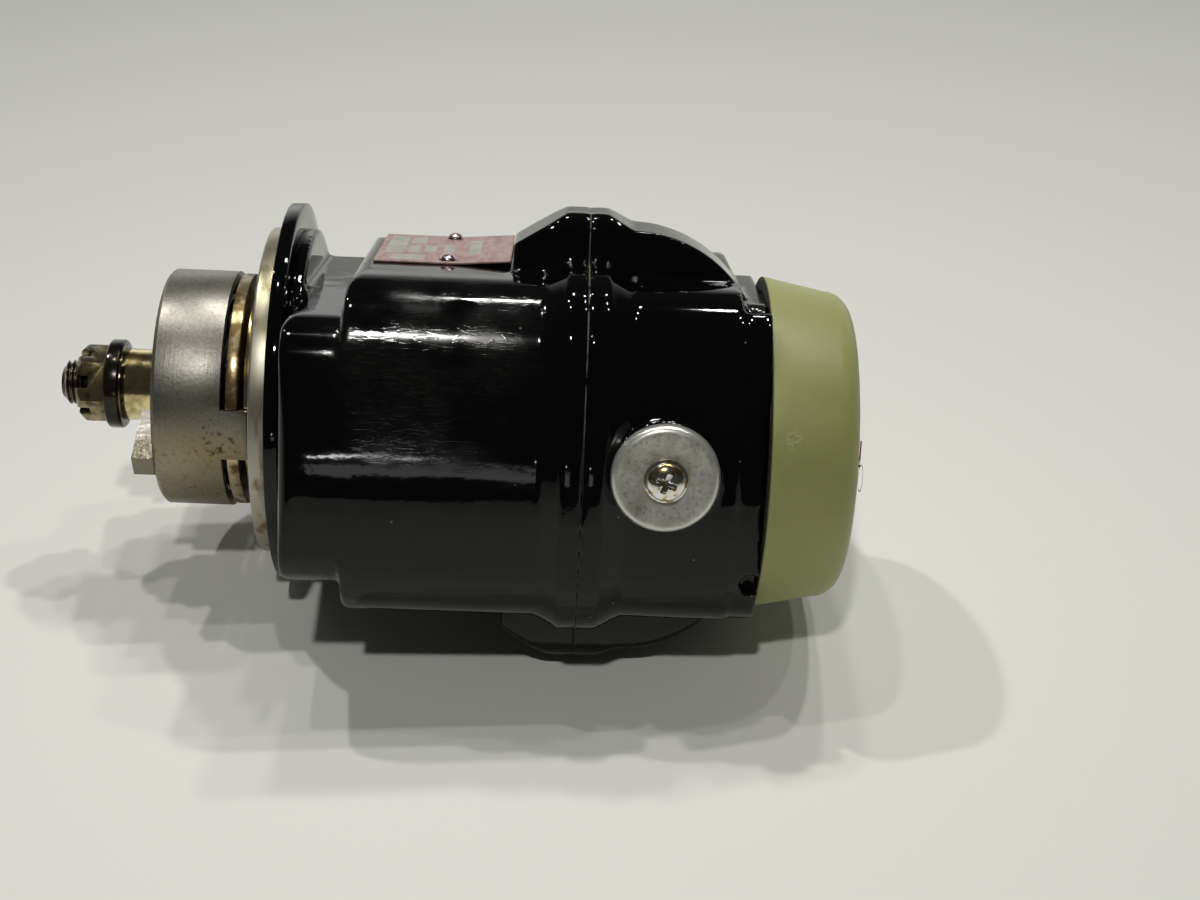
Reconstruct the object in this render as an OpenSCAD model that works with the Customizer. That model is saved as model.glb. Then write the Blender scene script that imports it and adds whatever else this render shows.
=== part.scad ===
// Aircraft magneto with impulse coupling, lying with its shaft level.
// X runs along the shaft toward the distributor end, Z is up, the coil box is on the -Y side.
// The origin is on the shaft axis in the plane of the mounting flange.

/* [Mounting end] */
// Diameter of the mounting pilot
pilot_d = 69.85; // [66:0.05:74]
// Height of the pilot in front of the flange face
pilot_h = 3.9; // [3.5:0.1:5]
// Diameter of the mounting flange
flange_d = 81.5; // [78:0.5:86]
// Thickness of the mounting flange
flange_t = 3; // [2.5:0.1:3.5]
// Diameter of the recess inside the pilot
recess_d = 60; // [58:0.5:61]
// Depth of the recess inside the pilot
recess_depth = 5.4; // [5:0.1:5.8]
// Diameter of the round neck behind the flange
neck_d = 60.8; // [58:0.2:62]
// Length of the round step on the back of the flange
tier_l = 2.8; // [2:0.1:3]
// Fillet between that step and the neck
neck_fillet = 4.6; // [2:0.1:5]
// Gap behind the flange that takes the mounting clamps
clamp_gap = 14; // [12:0.5:15]

/* [Housing] */
// Height of the housing over its flat top and bottom
body_h = 67.6; // [64:0.2:70]
// Distance from the shaft axis to the coil side of the housing
coil_reach = 59.5; // [58:0.5:64]
// Rounding of the housing's long corners
corner_r = 16; // [14:0.5:18]
// Radius of the crowned coil side
crown_r = 120; // [100:5:200]
// Height of the coil box where it stands beside the neck
shoulder_h = 53; // [50:0.5:55]
// Rounding of the coil box corners beside the neck
shoulder_r = 10; // [8:0.5:12]
// Gap between the flange and the coil box
shoulder_gap = 2.3; // [2:0.1:3]
// Rounding of the step edges
edge_r = 3; // [2:0.25:4]
// Casting wall thickness
wall = 4; // [3.5:0.1:4.5]
// Length of the drive housing behind the flange face
drive_l = 63; // [62:0.5:66]
// Length of the distributor housing
dist_l = 35; // [34:0.5:38]
// Height of the raised band along the joint
band_h = 2.5; // [1.5:0.1:3]
// Width of the crest of that band
band_w = 8; // [6:0.5:9]
// Length of the ramps beside the crest
band_ramp = 4.5; // [3.5:0.1:5]
// Length of the stepped rim at the distributor end
rim_l = 4.5; // [4:0.1:5]
// Depth of that rim's step
rim_step = 0.8; // [0.4:0.1:1.2]
// Drop of that rim's top below the top of the housing
rim_drop = 3.7; // [3:0.1:4]

/* [Dowel humps] */
// Width of a hump
hump_w = 15.5; // [13:0.5:17]
// Height of a hump above the shaft axis
hump_z = 45.8; // [45:0.2:47]
// Height of a hump's blunt end toward the flange
hump_low = 39.4; // [38:0.2:41]
// Length of a hump on the drive housing
hump_drive_l = 14.8; // [13:0.2:15]
// Radius of a hump's nose on the distributor housing
nose_r = 26.6; // [25:0.2:28]
// Height of the nose above the shaft axis
nose_z = 43; // [42.5:0.1:43.5]
// Rounding along the top of a hump
hump_r = 4; // [3:0.25:6]
// Dowel diameter
dowel_d = 5; // [4:0.25:6]
// Dowel length
dowel_l = 14; // [10:0.5:18]

/* [Shaft and bearings] */
// Diameter of the shaft's thread
thread_d = 9.52; // [9:0.02:10]
// Diameter of the shaft inside the coupling
drive_shaft_d = 12; // [11.5:0.1:12.5]
// Diameter of the shaft in the drive bearing
shaft_d = 15; // [14.5:0.1:15.5]
// Diameter of the shaft in the rear bearing
tail_d = 8; // [7.5:0.1:8.5]
// Outer diameter of the drive bearing
front_od = 32; // [31.5:0.1:33]
// Width of the drive bearing
front_w = 9; // [8.5:0.1:9.2]
// Ball diameter in the drive bearing
front_ball = 4.76; // [4.6:0.02:4.9]
// Outer diameter of the rear bearing
rear_od = 22; // [21.5:0.1:22.5]
// Width of the rear bearing
rear_w = 7; // [6.6:0.1:7.2]
// Ball diameter in the rear bearing
rear_ball = 3.96; // [3.8:0.02:4]
// Outer diameter of the shaft seal
seal_od = 26; // [25:0.5:28]
// Width of the shaft seal
seal_w = 4; // [3.5:0.1:4.2]
// Running clearance on a radius
run = 0.06; // [0.03:0.01:0.1]

/* [Rotor and coil] */
// Diameter of the rotor
rotor_d = 35; // [34:0.2:35.4]
// Length of the magnet and its pole heads
magnet_l = 26; // [24:0.5:26.5]
// Thickness of the magnet between its pole heads
magnet_t = 16.4; // [16:0.2:17]
// Air gap between the rotor and the pole shoes
air_gap = 0.6; // [0.4:0.05:0.8]
// Length of the pole shoes
shoe_l = 28.5; // [27:0.5:28.6]
// Thickness of the coil core
core_t = 12; // [10:0.5:12.5]
// Width of the coil core along the shaft
core_w = 20; // [18:0.5:20.5]
// Height of the coil winding
winding_h = 35; // [32:0.5:35.5]
// Depth of the winding outside its core
winding_t = 7; // [5:0.5:8]
// Width of the winding beside its core
winding_side = 4; // [3:0.5:4.5]
// Thickness of the coil wedges
wedge_t = 4; // [3:0.25:4.5]

/* [Distributor] */
// Distance from the rotor axis to the distributor axis
gear_offset = 30; // [30:1:30]
// Teeth on the rotor gear
pinion_teeth = 16; // [16:1:16]
// Face width of the rotor gear
pinion_w = 6; // [5:0.5:6.5]
// Face width of the distributor gear
gear_w = 5; // [4:0.5:5.5]
// Play between the gear teeth
backlash = 0.4; // [0.3:0.05:0.5]
// Thickness of the bearing bar
bar_t = 8; // [7.8:0.1:8.2]
// Diameter of the distributor axle
axle_d = 6; // [5.5:0.1:6.5]
// Outer diameter of the axle bushes
bush_d = 9; // [8.5:0.1:9.5]
// Diameter of the distributor finger's hub
finger_d = 16; // [14:0.5:18]
// Reach of the finger's electrode
finger_reach = 18; // [17.5:0.25:18.5]
// Diameter of the block where it plugs into the housing
plug_d = 52; // [50:0.5:53]
// How far the block's flange stands out past the plug
block_lip = 4.2; // [4:0.1:5]
// Thickness of the block's flange
block_t = 3.5; // [3:0.1:4]
// Radius of the circle of outlet towers
tower_pcd = 17; // [16.5:0.25:17.5]
// Diameter of an outlet tower
tower_d = 13; // [11:0.5:14]
// Height of an outlet tower
tower_h = 10; // [8:0.5:12]
// Diameter of an electrode
electrode_d = 4; // [3.5:0.25:4.5]

/* [Breaker] */
// Radius of the cam on its lobes
cam_lobe = 6.5; // [6.2:0.05:6.8]
// Radius of the cam between its lobes
cam_base = 5.4; // [5.2:0.05:5.6]
// Width of the cam
cam_w = 6; // [5:0.5:6.5]
// Play between the cam and the rubbing block
cam_play = 0.2; // [0.1:0.05:0.3]
// Thickness of the breaker base
base_t = 1.5; // [1.2:0.1:1.8]
// Width of the breaker arm along the shaft
arm_w = 3.5; // [3:0.25:4]
// Opening of the breaker contacts
contact_gap = 0.4; // [0.3:0.05:0.5]

/* [Protective cap] */
// Wall of the cap at its mouth
cap_rim_t = 3.1; // [2.6:0.1:3.6]
// How much narrower the cap is before its rounded end
cap_taper = 5.1; // [4:0.1:6]
// Length of the cap
cap_l = 17.6; // [16.5:0.1:19]
// Rounding of the cap's end
cap_r = 5; // [4:0.1:6]
// Wall thickness of the cap
cap_wall = 1.8; // [1.5:0.1:2]
// Thickness of the wire end caught at the cap's rounded end
wire_t = 0.3; // [0.25:0.05:0.35]
// Width of that wire's loop
wire_w = 1.1; // [0.9:0.1:1.3]
// Length of that loop
loop_l = 5.6; // [5:0.2:6]
// Length of the straight end past the loop
tail_l = 4.6; // [4:0.2:5]

/* [Condenser] */
// Diameter of the condenser's outer face
cond_d = 20.8; // [20:0.2:22]
// Thickness of that face
cond_t = 2.8; // [2.4:0.1:3.2]
// Diameter of the condenser can
can_d = 17.6; // [16:0.2:18]
// Depth of the can inside the housing
can_depth = 9; // [7:0.5:9.5]
// Distance of the condenser from the joint
cond_x = 15.6; // [15:0.2:16.5]
// Height of its seat above the coil side
cond_seat = 0.8; // [0.6:0.1:1.2]
// Diameter of the terminal screw's head
term_d = 7.4; // [6.5:0.1:8]
// Height of the terminal screw's head
term_h = 2.3; // [2:0.1:2.8]

/* [Impulse coupling] */
// Diameter of the coupling shell
shell_d = 50.5; // [49:0.25:52]
// Length of the shell to its rim
shell_l = 14.2; // [13:0.2:16]
// Wall thickness of the shell
shell_wall = 2; // [1.8:0.1:2.2]
// Thickness of the shell's front
shell_front = 2.8; // [2.5:0.1:3.2]
// Length of the shell's tabs past its rim
tab_l = 5.5; // [5:0.1:6]
// Width of a tab as an angle
tab_angle = 25; // [20:1:30]
// Turn of the tabs below the coil side
tab_turn = 10.5; // [0:0.5:20]
// Gap between the tabs and the pilot
tab_gap = 1.6; // [1.5:0.1:2]
// Height of the drive lugs
lug_h = 4.7; // [4:0.1:6]
// Width of the drive lugs
lug_w = 5; // [4:0.25:7]
// Turn of the drive lugs below the coil side
lug_turn = 33; // [20:1:45]
// Diameter of the spring cover
cover_d = 49.6; // [48.8:0.2:50]
// Thickness of the spring cover
cover_t = 2.5; // [2:0.1:2.6]
// Diameter of the hub's neck
hub_neck_d = 15.4; // [15:0.1:16]
// Length of the hub's neck in front of the shell
hub_neck_l = 9.8; // [8:0.2:12]
// Diameter of the hub's plate
hub_plate_d = 45; // [43:0.5:45.5]
// Thickness of the hub's plate
hub_plate_t = 2.4; // [2:0.1:2.6]
// Width of the coupling spring
spring_w = 9; // [7:0.5:9.5]
// Thickness of the coupling spring
spring_t = 0.8; // [0.6:0.05:1]
// Turns of the coupling spring
spring_turns = 4; // [3:0.5:5]
// Thickness of the flyweights
fly_t = 2.8; // [2.4:0.1:3]
// Diameter of the flyweight pivots
fly_pin_d = 4; // [3.5:0.25:4.5]
// Diameter of the stop pin
stop_d = 4; // [3:0.25:4.5]
// Washer diameter
washer_d = 19.1; // [18:0.1:21]
// Washer thickness
washer_t = 3.3; // [2.5:0.1:4]
// Castle nut width across flats
nut_af = 14.29; // [13:0.01:15]
// Castle nut height
nut_h = 6.2; // [5.5:0.1:8]
// Depth of the nut's slots
slot_depth = 2.6; // [2:0.1:3]
// Width of the nut's slots
slot_w = 2.6; // [2:0.1:3]
// Turn of the nut about the shaft
nut_turn = -13.5; // [-30:0.5:30]
// Thread standing past the nut
tip_l = 3.8; // [2:0.1:6]

/* [Data plate] */
// Length of the data plate along the shaft
plate_l = 27.2; // [24:0.2:27.4]
// Width of the data plate across the shaft
plate_w = 35; // [32:0.5:36]
// Thickness of the data plate
plate_t = 0.5; // [0.4:0.1:0.8]
// Lift of its loose half as an angle
plate_lift = 4.5; // [0:0.5:5]
// Diameter of a rivet head
rivet_d = 3.6; // [3:0.1:4.2]
// Diameter of a rivet shank
rivet_shank = 1.8; // [1.5:0.1:2]

/* [Hidden] */
$fn = 72;
eps = 0.01;
half_h = body_h / 2;
shoulder_half = shoulder_h / 2;
x_step = flange_t + clamp_gap;
x_shoulder = flange_t + shoulder_gap;
x_end = drive_l + dist_l;
x_floor = recess_depth - pilot_h;
x_seal = x_floor + seal_w;
x_front = x_seal + 0.6;
x_front_end = x_front + front_w;
crown_y = crown_r - coil_reach;
// The crown is drawn this much inside the corner arcs, so that they cross cleanly.
crown_ease = 0.02;
fit = 0.3;
shaft_r = shaft_d / 2;
collar_l = 2;
x_collar = x_front_end + collar_l;
plate_gap = 1.5;
x_magnet = x_collar + plate_gap + 1;
x_magnet_end = x_magnet + magnet_l;
x_bar = drive_l - 13;
x_bar_end = x_bar + bar_t;
x_gear = x_bar_end + 1;
shoe_r = rotor_d / 2 + air_gap;
x_shoe = x_bar - shoe_l;
core_y = -26;
shoe_leg_z = winding_h / 2 + 0.6;
x_core = x_bar - core_w - winding_side - 0.6;
gear_m = 2 * gear_offset / (3 * pinion_teeth);
pinion_r = gear_m * pinion_teeth / 2;
axis_y = -gear_offset;
x_cam = x_gear + pinion_w + 1;
x_finger = x_gear + pinion_w;
x_block = x_end - 8;
x_hubface = x_block - 3.5;
x_electrode = x_hubface - 1.3;
x_finger_end = x_electrode - 1.2;
x_axle_end = x_block + 1;
block_d = plug_d + 2 * block_lip;
cap_in = block_d / 2 + 0.2;
cap_d = 2 * (cap_in + cap_rim_t);
cap_end_d = cap_d - cap_taper;
x_cap_end = x_end + cap_l;
x_ledge = x_end - rim_l - 1;
rim_top = half_h - rim_drop;
x_cond = drive_l + cond_x;
seat_y = -coil_reach - cond_seat;
x_tab = -(pilot_h + tab_gap);
x_rim = x_tab - tab_l;
x_shell = x_rim - shell_l;
x_neck = x_shell - hub_neck_l;
x_washer = x_neck - washer_t;
x_nut = x_washer - nut_h;
x_tip = x_nut - tip_l;
x_hub = -pilot_h - 0.3;
x_cover = x_rim + 1;
x_fly = x_hub + 0.3;
x_fly_end = x_fly + fly_t;
fly_r = 15;
stop_r = recess_d / 2 - stop_d / 2 - 1;
near_turn = 59.2;
near_reach = plug_d / 2 + 6.2;
near_screw = [axis_y - near_reach * cos(near_turn), near_reach * sin(near_turn)];
far_screw = [20.2, 20.2];
screw_d = 4;
head_d = 7.2;
head_h = 3.2;
pocket_d = 8.2;
boss_d = 9;
screw_in = 13;
plate_x = x_step + 3.4;
plate_y = 4;
rivet_x = plate_x + plate_l / 2 + 1;
rivet_in = 3;
hump_dowel_z = 39;
shell_r = shell_d / 2;
shell_in = shell_r - shell_wall;
cam_end = x_cam + cam_w;
key_t = 3;
key_r = 5;
x_key = x_shell + 9;
key_top = hub_neck_d / 2 - 0.6;
arm_pivot = [17, -12];
x_base = x_cam + 0.2;
x_arm = x_base + base_t + 0.5;

// Extrudes an outline drawn as (y, z) from x0 to x1.
module along_x(x0, x1) {
  translate([x0, 0, 0]) rotate([90, 0, 90]) linear_extrude(x1 - x0) children();
}

// Extrudes an outline drawn as (x, z) from y0 to y1.
module along_y(y0, y1) {
  translate([0, y1, 0]) rotate([90, 0, 0]) linear_extrude(y1 - y0) children();
}

// Turns a profile drawn as (radius, x) about the shaft axis.
module turned() {
  rotate([0, 90, 0]) rotate_extrude() children();
}

module rod(x0, x1, d) {
  translate([x0, 0, 0]) rotate([0, 90, 0]) cylinder(h = x1 - x0, d = d);
}

module tube(x0, x1, od, id) {
  difference() {
    rod(x0, x1, od);
    rod(x0 - 1, x1 + 1, id);
  }
}

module at_distributor() {
  translate([0, axis_y, 0]) children();
}

module both_sides() {
  children();
  mirror([0, 0, 1]) children();
}

module at_screws() {
  both_sides() translate([0, near_screw[0], near_screw[1]]) children();
  both_sides() translate([0, far_screw[0], far_screw[1]]) children();
}

// Housing section: round about the shaft, flat top and bottom, crowned coil side.
function corner_y(h, r) = crown_y - sqrt(pow(crown_r - r, 2) - pow(h - r, 2));

module outline(h, r, inset) {
  yc = corner_y(h, r);
  zc = h - r;
  out = (crown_r + 5) / (crown_r - r);
  yt = crown_y + (yc - crown_y) * out;
  zt = zc * out;
  circle(r = h - inset, $fn = 120);
  translate([yc, zc]) circle(r = r - inset);
  translate([yc, -zc]) circle(r = r - inset);
  translate([yc, -(h - inset)]) square([-yc, 2 * (h - inset)]);
  intersection() {
    translate([crown_y, 0]) circle(r = crown_r - crown_ease - inset, $fn = 200);
    polygon([[yc, zc], [yt, zt], [yt, -zt], [yc, -zc]]);
  }
}

// Plain strip with rounded corners at its low-x end.
module rounded_start(x0, x1, half, r) {
  translate([x0 + r, -half]) square([x1 - x0 - r, 2 * half]);
  translate([x0, -half + r]) square([x1 - x0, 2 * (half - r)]);
  translate([x0 + r, half - r]) circle(r = r);
  translate([x0 + r, -half + r]) circle(r = r);
}

module hump_section() {
  w = hump_w / 2;
  translate([axis_y - w, 0]) square([hump_w, hump_z - hump_r]);
  translate([axis_y - w + hump_r, 0]) square([hump_w - 2 * hump_r, hump_z]);
  translate([axis_y - w + hump_r, hump_z - hump_r]) circle(r = hump_r);
  translate([axis_y + w - hump_r, hump_z - hump_r]) circle(r = hump_r);
}

module hump_side(points) {
  intersection() {
    along_x(0, x_end) hump_section();
    along_y(axis_y - hump_w, axis_y + hump_w) polygon(points);
  }
}

// Ramp of the joint band, from inside the body up to the crest.
module ramp_cone(x_low, x_crest, r) {
  turned() polygon([[0, x_low], [r - band_h, x_low], [r + band_h - 0.1, x_crest], [0, x_crest]]);
}

module band_ramp_solid(x_low, x_crest) {
  yc = corner_y(half_h, corner_r);
  zc = half_h - corner_r;
  out = (crown_r + 5) / (crown_r - corner_r);
  yt = crown_y + (yc - crown_y) * out;
  low = half_h - band_h;
  top = half_h + band_h - 0.1;
  ramp_cone(x_low, x_crest, half_h);
  both_sides() translate([0, yc, zc]) ramp_cone(x_low, x_crest, corner_r);
  along_y(yc, 0) polygon([[x_low, -low], [x_low, low], [x_crest, top], [x_crest, -top]]);
  intersection() {
    translate([0, crown_y, 0]) ramp_cone(x_low, x_crest, crown_r - crown_ease);
    along_x(min(x_low, x_crest) - 1, max(x_low, x_crest) + 1)
      polygon([[yc, zc], [yt, zc * out], [yt, -zc * out], [yc, -zc]]);
  }
}

// One rim of involute-like teeth: root, flank and tip corners from the module.
function tooth(n, m, k) = let (
  r = m * n / 2,
  half = 90 / n - backlash / 4 / r * 180 / PI,
  lean = 180 / PI * tan(20)
) [for (p = [[-1.2, 1], [0, 1], [0.95, 1], [0.95, -1], [0, -1], [-1.2, -1]])
    let (rr = r + p[0] * m, a = 360 * k / n + p[1] * (half - p[0] * m / r * lean))
    [rr * cos(a), rr * sin(a)]];

module gear_rim(n, m, turn) {
  rotate(turn) polygon([for (k = [0 : n - 1]) for (p = tooth(n, m, -k)) p]);
}

module drive_cast() {
  turned() polygon([[0, 0], [pilot_d / 2, 0], [pilot_d / 2, 0.6 - pilot_h],
    [pilot_d / 2 - 0.6, -pilot_h], [0, -pilot_h]]);
  turned() polygon([[0, 0], [flange_d / 2 - 0.5, 0], [flange_d / 2, 0.5],
    [flange_d / 2, flange_t - 0.8], [flange_d / 2 - 0.8, flange_t], [0, flange_t]]);
  turned() difference() {
    translate([0, flange_t]) square([neck_d / 2 + neck_fillet, tier_l + neck_fillet]);
    translate([neck_d / 2 + neck_fillet, flange_t + tier_l + neck_fillet]) circle(r = neck_fillet);
  }
  rod(flange_t - 1, x_step + edge_r, neck_d);
  intersection() {
    along_x(x_shoulder, x_step + edge_r) outline(shoulder_half, shoulder_r, 0);
    along_y(-coil_reach - 1, half_h) rounded_start(x_shoulder, x_step + 9, shoulder_half, edge_r);
    linear_extrude(2 * half_h, center = true)
      rounded_start(x_shoulder, x_step + 9, coil_reach, edge_r);
  }
  intersection() {
    along_x(x_step, drive_l) outline(half_h, corner_r, 0);
    along_y(-coil_reach - 1, half_h + 1) rounded_start(x_step, drive_l + 9, half_h, edge_r);
  }
  band_ramp_solid(drive_l - band_w / 2 - 2 * band_ramp, drive_l - band_w / 2 + 0.2);
  along_x(drive_l - band_w / 2, drive_l) outline(half_h, corner_r, -band_h);
  x0 = drive_l - hump_drive_l;
  both_sides() hump_side([[x0, 20], [x0, hump_low], [drive_l - band_w / 2 - 0.5, hump_z],
    [drive_l, hump_z], [drive_l, 20]]);
}

module drive_cavity() {
  difference() {
    along_x(x_shoulder + wall, x_step + wall) outline(shoulder_half, shoulder_r, wall);
    rod(0, x_step + wall, front_od + 2 * wall);
  }
  along_x(x_step + wall - eps, drive_l + 1) outline(half_h, corner_r, wall);
}

// Lugs behind the coil wedges, on the top and bottom walls.
module wedge_lugs() {
  y1 = core_y - core_t - wedge_t;
  both_sides() translate([x_core, y1 - 6, shoe_leg_z + 4])
    cube([core_w, 6, half_h - wall - shoe_leg_z - 3]);
}

module drive_housing() {
  color("#15161a") difference() {
    union() {
      difference() {
        drive_cast();
        drive_cavity();
      }
      wedge_lugs();
      intersection() {
        at_screws() rod(drive_l - screw_in - 2, drive_l, boss_d);
        along_x(0, drive_l) outline(half_h, corner_r, 1);
      }
      intersection() {
        both_sides() along_y(axis_y - hump_w / 2, axis_y + hump_w / 2)
          translate([x_bar + 0.1, half_h - wall - 2]) square([drive_l - x_bar - 0.1, 4]);
        along_x(0, drive_l) outline(half_h, corner_r, 1);
      }
    }
    rod(-pilot_h - 1, x_floor, recess_d);
    rod(x_floor - 1, x_seal, seal_od);
    rod(x_seal - 1, x_front + 1, seal_od - 3);
    rod(x_front, x_step + wall + 1, front_od);
    rod(x_collar - 1, x_step + wall + 1, 2 * shoe_r + 1);
    at_screws() rod(drive_l - screw_in, drive_l + 1, screw_d);
    both_sides() translate([0, axis_y, hump_dowel_z]) rod(drive_l - dowel_l / 2, drive_l + 1, dowel_d);
    rotate([45, 0, 0]) translate([0, stop_r, 0]) rod(x_floor - 1, x_floor + 5, stop_d);
    at_rivets() translate([0, 0, half_h - 5]) cylinder(h = 9, d = rivet_shank);
  }
}

module distributor_cast() {
  along_x(drive_l, x_ledge) outline(half_h, corner_r, 0.3);
  // The rim's top is cut down level, then slopes away past the shaft.
  along_x(x_ledge - 1, x_end) difference() {
    outline(half_h, corner_r, rim_step);
    polygon([[-2 * coil_reach, rim_top], [-6, rim_top], [half_h + 20, rim_top - 0.3 * (half_h + 26)],
      [half_h + 20, 2 * half_h], [-2 * coil_reach, 2 * half_h]]);
  }
  band_ramp_solid(drive_l + band_w / 2 + 2 * band_ramp, drive_l + band_w / 2 - 0.2);
  along_x(drive_l, drive_l + band_w / 2) outline(half_h, corner_r, -band_h);
  x1 = drive_l + band_w / 2;
  both_sides() hump_side([[drive_l, 20], [drive_l, hump_z], [x1 - 0.5, hump_z],
    [x1 + band_ramp, nose_z], [x1 + band_ramp, 20]]);
  both_sides() intersection() {
    along_x(x1, x_end) hump_section();
    along_y(axis_y - hump_w, axis_y + hump_w) intersection() {
      translate([x1 + band_ramp, nose_z - nose_r]) circle(r = nose_r);
      translate([x1, 24]) square([nose_r + band_ramp, nose_z]);
    }
  }
  translate([x_cond, seat_y, 0]) rotate([-90, 0, 0]) cylinder(h = 3 * wall, d = cond_d - 0.4);
}

// Scooped hollow at the rim's lower near corner.
module corner_scoop() {
  reach = corner_r - rim_step - 2.4;
  translate([x_end - 1.6, corner_y(half_h, corner_r) - reach * cos(20), corner_r - half_h - reach * sin(20)])
    rotate([90, 0, 0]) cylinder(h = 9, r = 2.1);
}

module distributor_housing() {
  color("#15161a") difference() {
    union() {
      difference() {
        distributor_cast();
        along_x(drive_l - 1, x_ledge - 1.5) outline(half_h, corner_r, wall);
      }
      intersection() {
        at_screws() rod(drive_l, x_ledge - 0.5, boss_d);
        along_x(drive_l, x_end) outline(half_h, corner_r, 1);
      }
      intersection() {
        both_sides() along_y(axis_y - hump_w / 2, axis_y + hump_w / 2)
          translate([drive_l, half_h - wall - 2]) square([dowel_l, 4]);
        along_x(0, x_end) outline(half_h, corner_r, 1);
      }
    }
    at_distributor() rod(drive_l + 5, x_end + 1, plug_d + 0.2);
    translate([x_cond, seat_y - 1, 0]) rotate([-90, 0, 0]) cylinder(h = 30, d = can_d + 0.1);
    on_condenser() cylinder(h = 10, d = cond_d + 0.6);
    at_screws() rod(drive_l - 1, x_end + 1, screw_d + 0.4);
    at_screws() rod(x_end - rim_l, x_end + 1, pocket_d);
    corner_scoop();
    both_sides() translate([0, axis_y, hump_dowel_z]) rod(drive_l - 1, drive_l + dowel_l / 2, dowel_d);
    at_block_screws() rod(x_end - 6, x_end + 1, 3);
  }
}

module cap_profile(r0, r1, x0, x1, r) {
  polygon([[0, x0], [r0, x0], [r1, x1 - r], [r1 - r, x1 - r], [r1 - r, x1], [0, x1]]);
  translate([r1 - r, x1 - r]) circle(r = r);
}

module protective_cap() {
  color("#8f9450") at_distributor() turned() difference() {
    cap_profile(cap_d / 2, cap_end_d / 2, x_end, x_cap_end, cap_r);
    translate([0, x_end - eps]) square([cap_in, block_t + 2.2]);
    cap_profile(cap_in, cap_end_d / 2 - cap_wall, x_end + block_t + 2, x_cap_end - cap_wall,
      cap_r - cap_wall);
  }
}

module slot_shape(l, w) {
  translate([-w / 2, (w - l) / 2]) square([w, l - w]);
  for (s = [-1, 1]) translate([0, s * (l - w) / 2]) circle(d = w);
}

// A bent wire end standing against the near edge of the cap's end.
module cap_wire() {
  y0 = axis_y - cap_end_d / 2 + cap_r;
  color("#241512") along_y(y0 - wire_t / 2, y0 + wire_t / 2) translate([x_cap_end + eps + wire_w / 2, 0]) {
    difference() {
      slot_shape(loop_l, wire_w);
      slot_shape(loop_l - 2 * wire_t, wire_w - 2 * wire_t);
    }
    translate([-wire_w / 2, (loop_l - wire_w) / 2]) square([wire_t, tail_l + wire_w / 2]);
  }
}

module at_rivets() {
  for (y = [plate_y - rivet_in, plate_y - plate_w + rivet_in]) translate([rivet_x, y, 0]) children();
}

// The half past the rivets has sprung up off the housing.
module data_plate() {
  flat = rivet_x - plate_x + 2;
  color("#b06a6e") difference() {
    translate([0, plate_y - plate_w, half_h]) union() {
      translate([plate_x, 0, 0]) cube([flat, plate_w, plate_t]);
      translate([plate_x + flat, 0, 0]) rotate([0, -plate_lift, 0])
        cube([plate_l - flat, plate_w, plate_t]);
    }
    at_rivets() cylinder(h = hump_z, d = rivet_shank);
  }
}

module plate_rivets() {
  dome = rivet_d * 0.36;
  ball = (rivet_d * rivet_d / 4 + dome * dome) / (2 * dome);
  color("#a89aa0") at_rivets() translate([0, 0, half_h + plate_t]) {
    intersection() {
      translate([0, 0, dome - ball]) sphere(r = ball);
      cylinder(h = dome, d = rivet_d);
    }
    translate([0, 0, -4]) cylinder(h = 4 + eps, d = rivet_shank);
  }
}

module housing_screws() {
  color("#6d6a60") at_screws() {
    rod(drive_l - screw_in + 0.5, x_end - rim_l + eps, screw_d);
    difference() {
      rod(x_end - rim_l, x_end - rim_l + head_h, head_d);
      translate([x_end - rim_l + head_h - 1, -head_d, -0.6]) cube([2, 2 * head_d, 1.2]);
    }
  }
}

module dowel_pins() {
  color("#8c8c88") both_sides() translate([0, axis_y, hump_dowel_z])
    rod(drive_l - dowel_l / 2 + 0.2, drive_l + dowel_l / 2 - 0.2, dowel_d);
}

module on_condenser() {
  translate([x_cond, seat_y, 0]) rotate([90, 0, 0]) children();
}

module condenser_can() {
  r = 1.4;
  color("#b9b8b2") on_condenser() difference() {
    union() {
      rotate_extrude() {
        square([cond_d / 2 - r, cond_t]);
        square([cond_d / 2, cond_t - r]);
        translate([cond_d / 2 - r, cond_t - r]) circle(r = r);
      }
      translate([0, 0, -can_depth]) cylinder(h = can_depth + eps, d = can_d);
    }
    translate([0, 0, -can_depth + 3]) cylinder(h = 30, d = screw_d);
  }
}

module terminal_washer() {
  color("#77766f") on_condenser() translate([0, 0, cond_t]) difference() {
    cylinder(h = 0.6, d = term_d + 1);
    translate([0, 0, -1]) cylinder(h = 3, d = screw_d);
  }
}

module terminal_screw() {
  ball = (term_d * term_d / 4 + term_h * term_h) / (2 * term_h);
  color("#c9c9c4") on_condenser() translate([0, 0, cond_t + 0.6]) {
    difference() {
      intersection() {
        translate([0, 0, term_h - ball]) sphere(r = ball);
        cylinder(h = term_h, d = term_d);
      }
      for (a = [0, 90]) rotate(a + 20) translate([-0.6, -term_d / 4, term_h - 1.2])
        cube([1.2, term_d / 2, 2]);
    }
    translate([0, 0, -6]) cylinder(h = 6 + eps, d = screw_d);
  }
}

module shaft_seal() {
  color("#1c1c1c") turned() difference() {
    translate([shaft_r + run, x_floor]) square([seal_od / 2 - shaft_r - run, seal_w]);
    translate([shaft_r + 1.6, x_floor - 1]) square([seal_od / 2 - shaft_r - 3.4, seal_w - 0.4]);
  }
}

module stop_pin() {
  color("#777670") rotate([45, 0, 0]) translate([0, stop_r, 0]) rod(x_fly + 0.4, x_floor + 5, stop_d);
}

module ball_groove(r, ball, xm) {
  translate([r, xm]) circle(d = ball + 0.14);
}

module race(r0, r1, x0, w, pitch, ball) {
  color("#b4b6b8") turned() difference() {
    translate([r0, x0]) square([r1 - r0, w]);
    ball_groove(pitch, ball, x0 + w / 2);
  }
}

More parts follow.
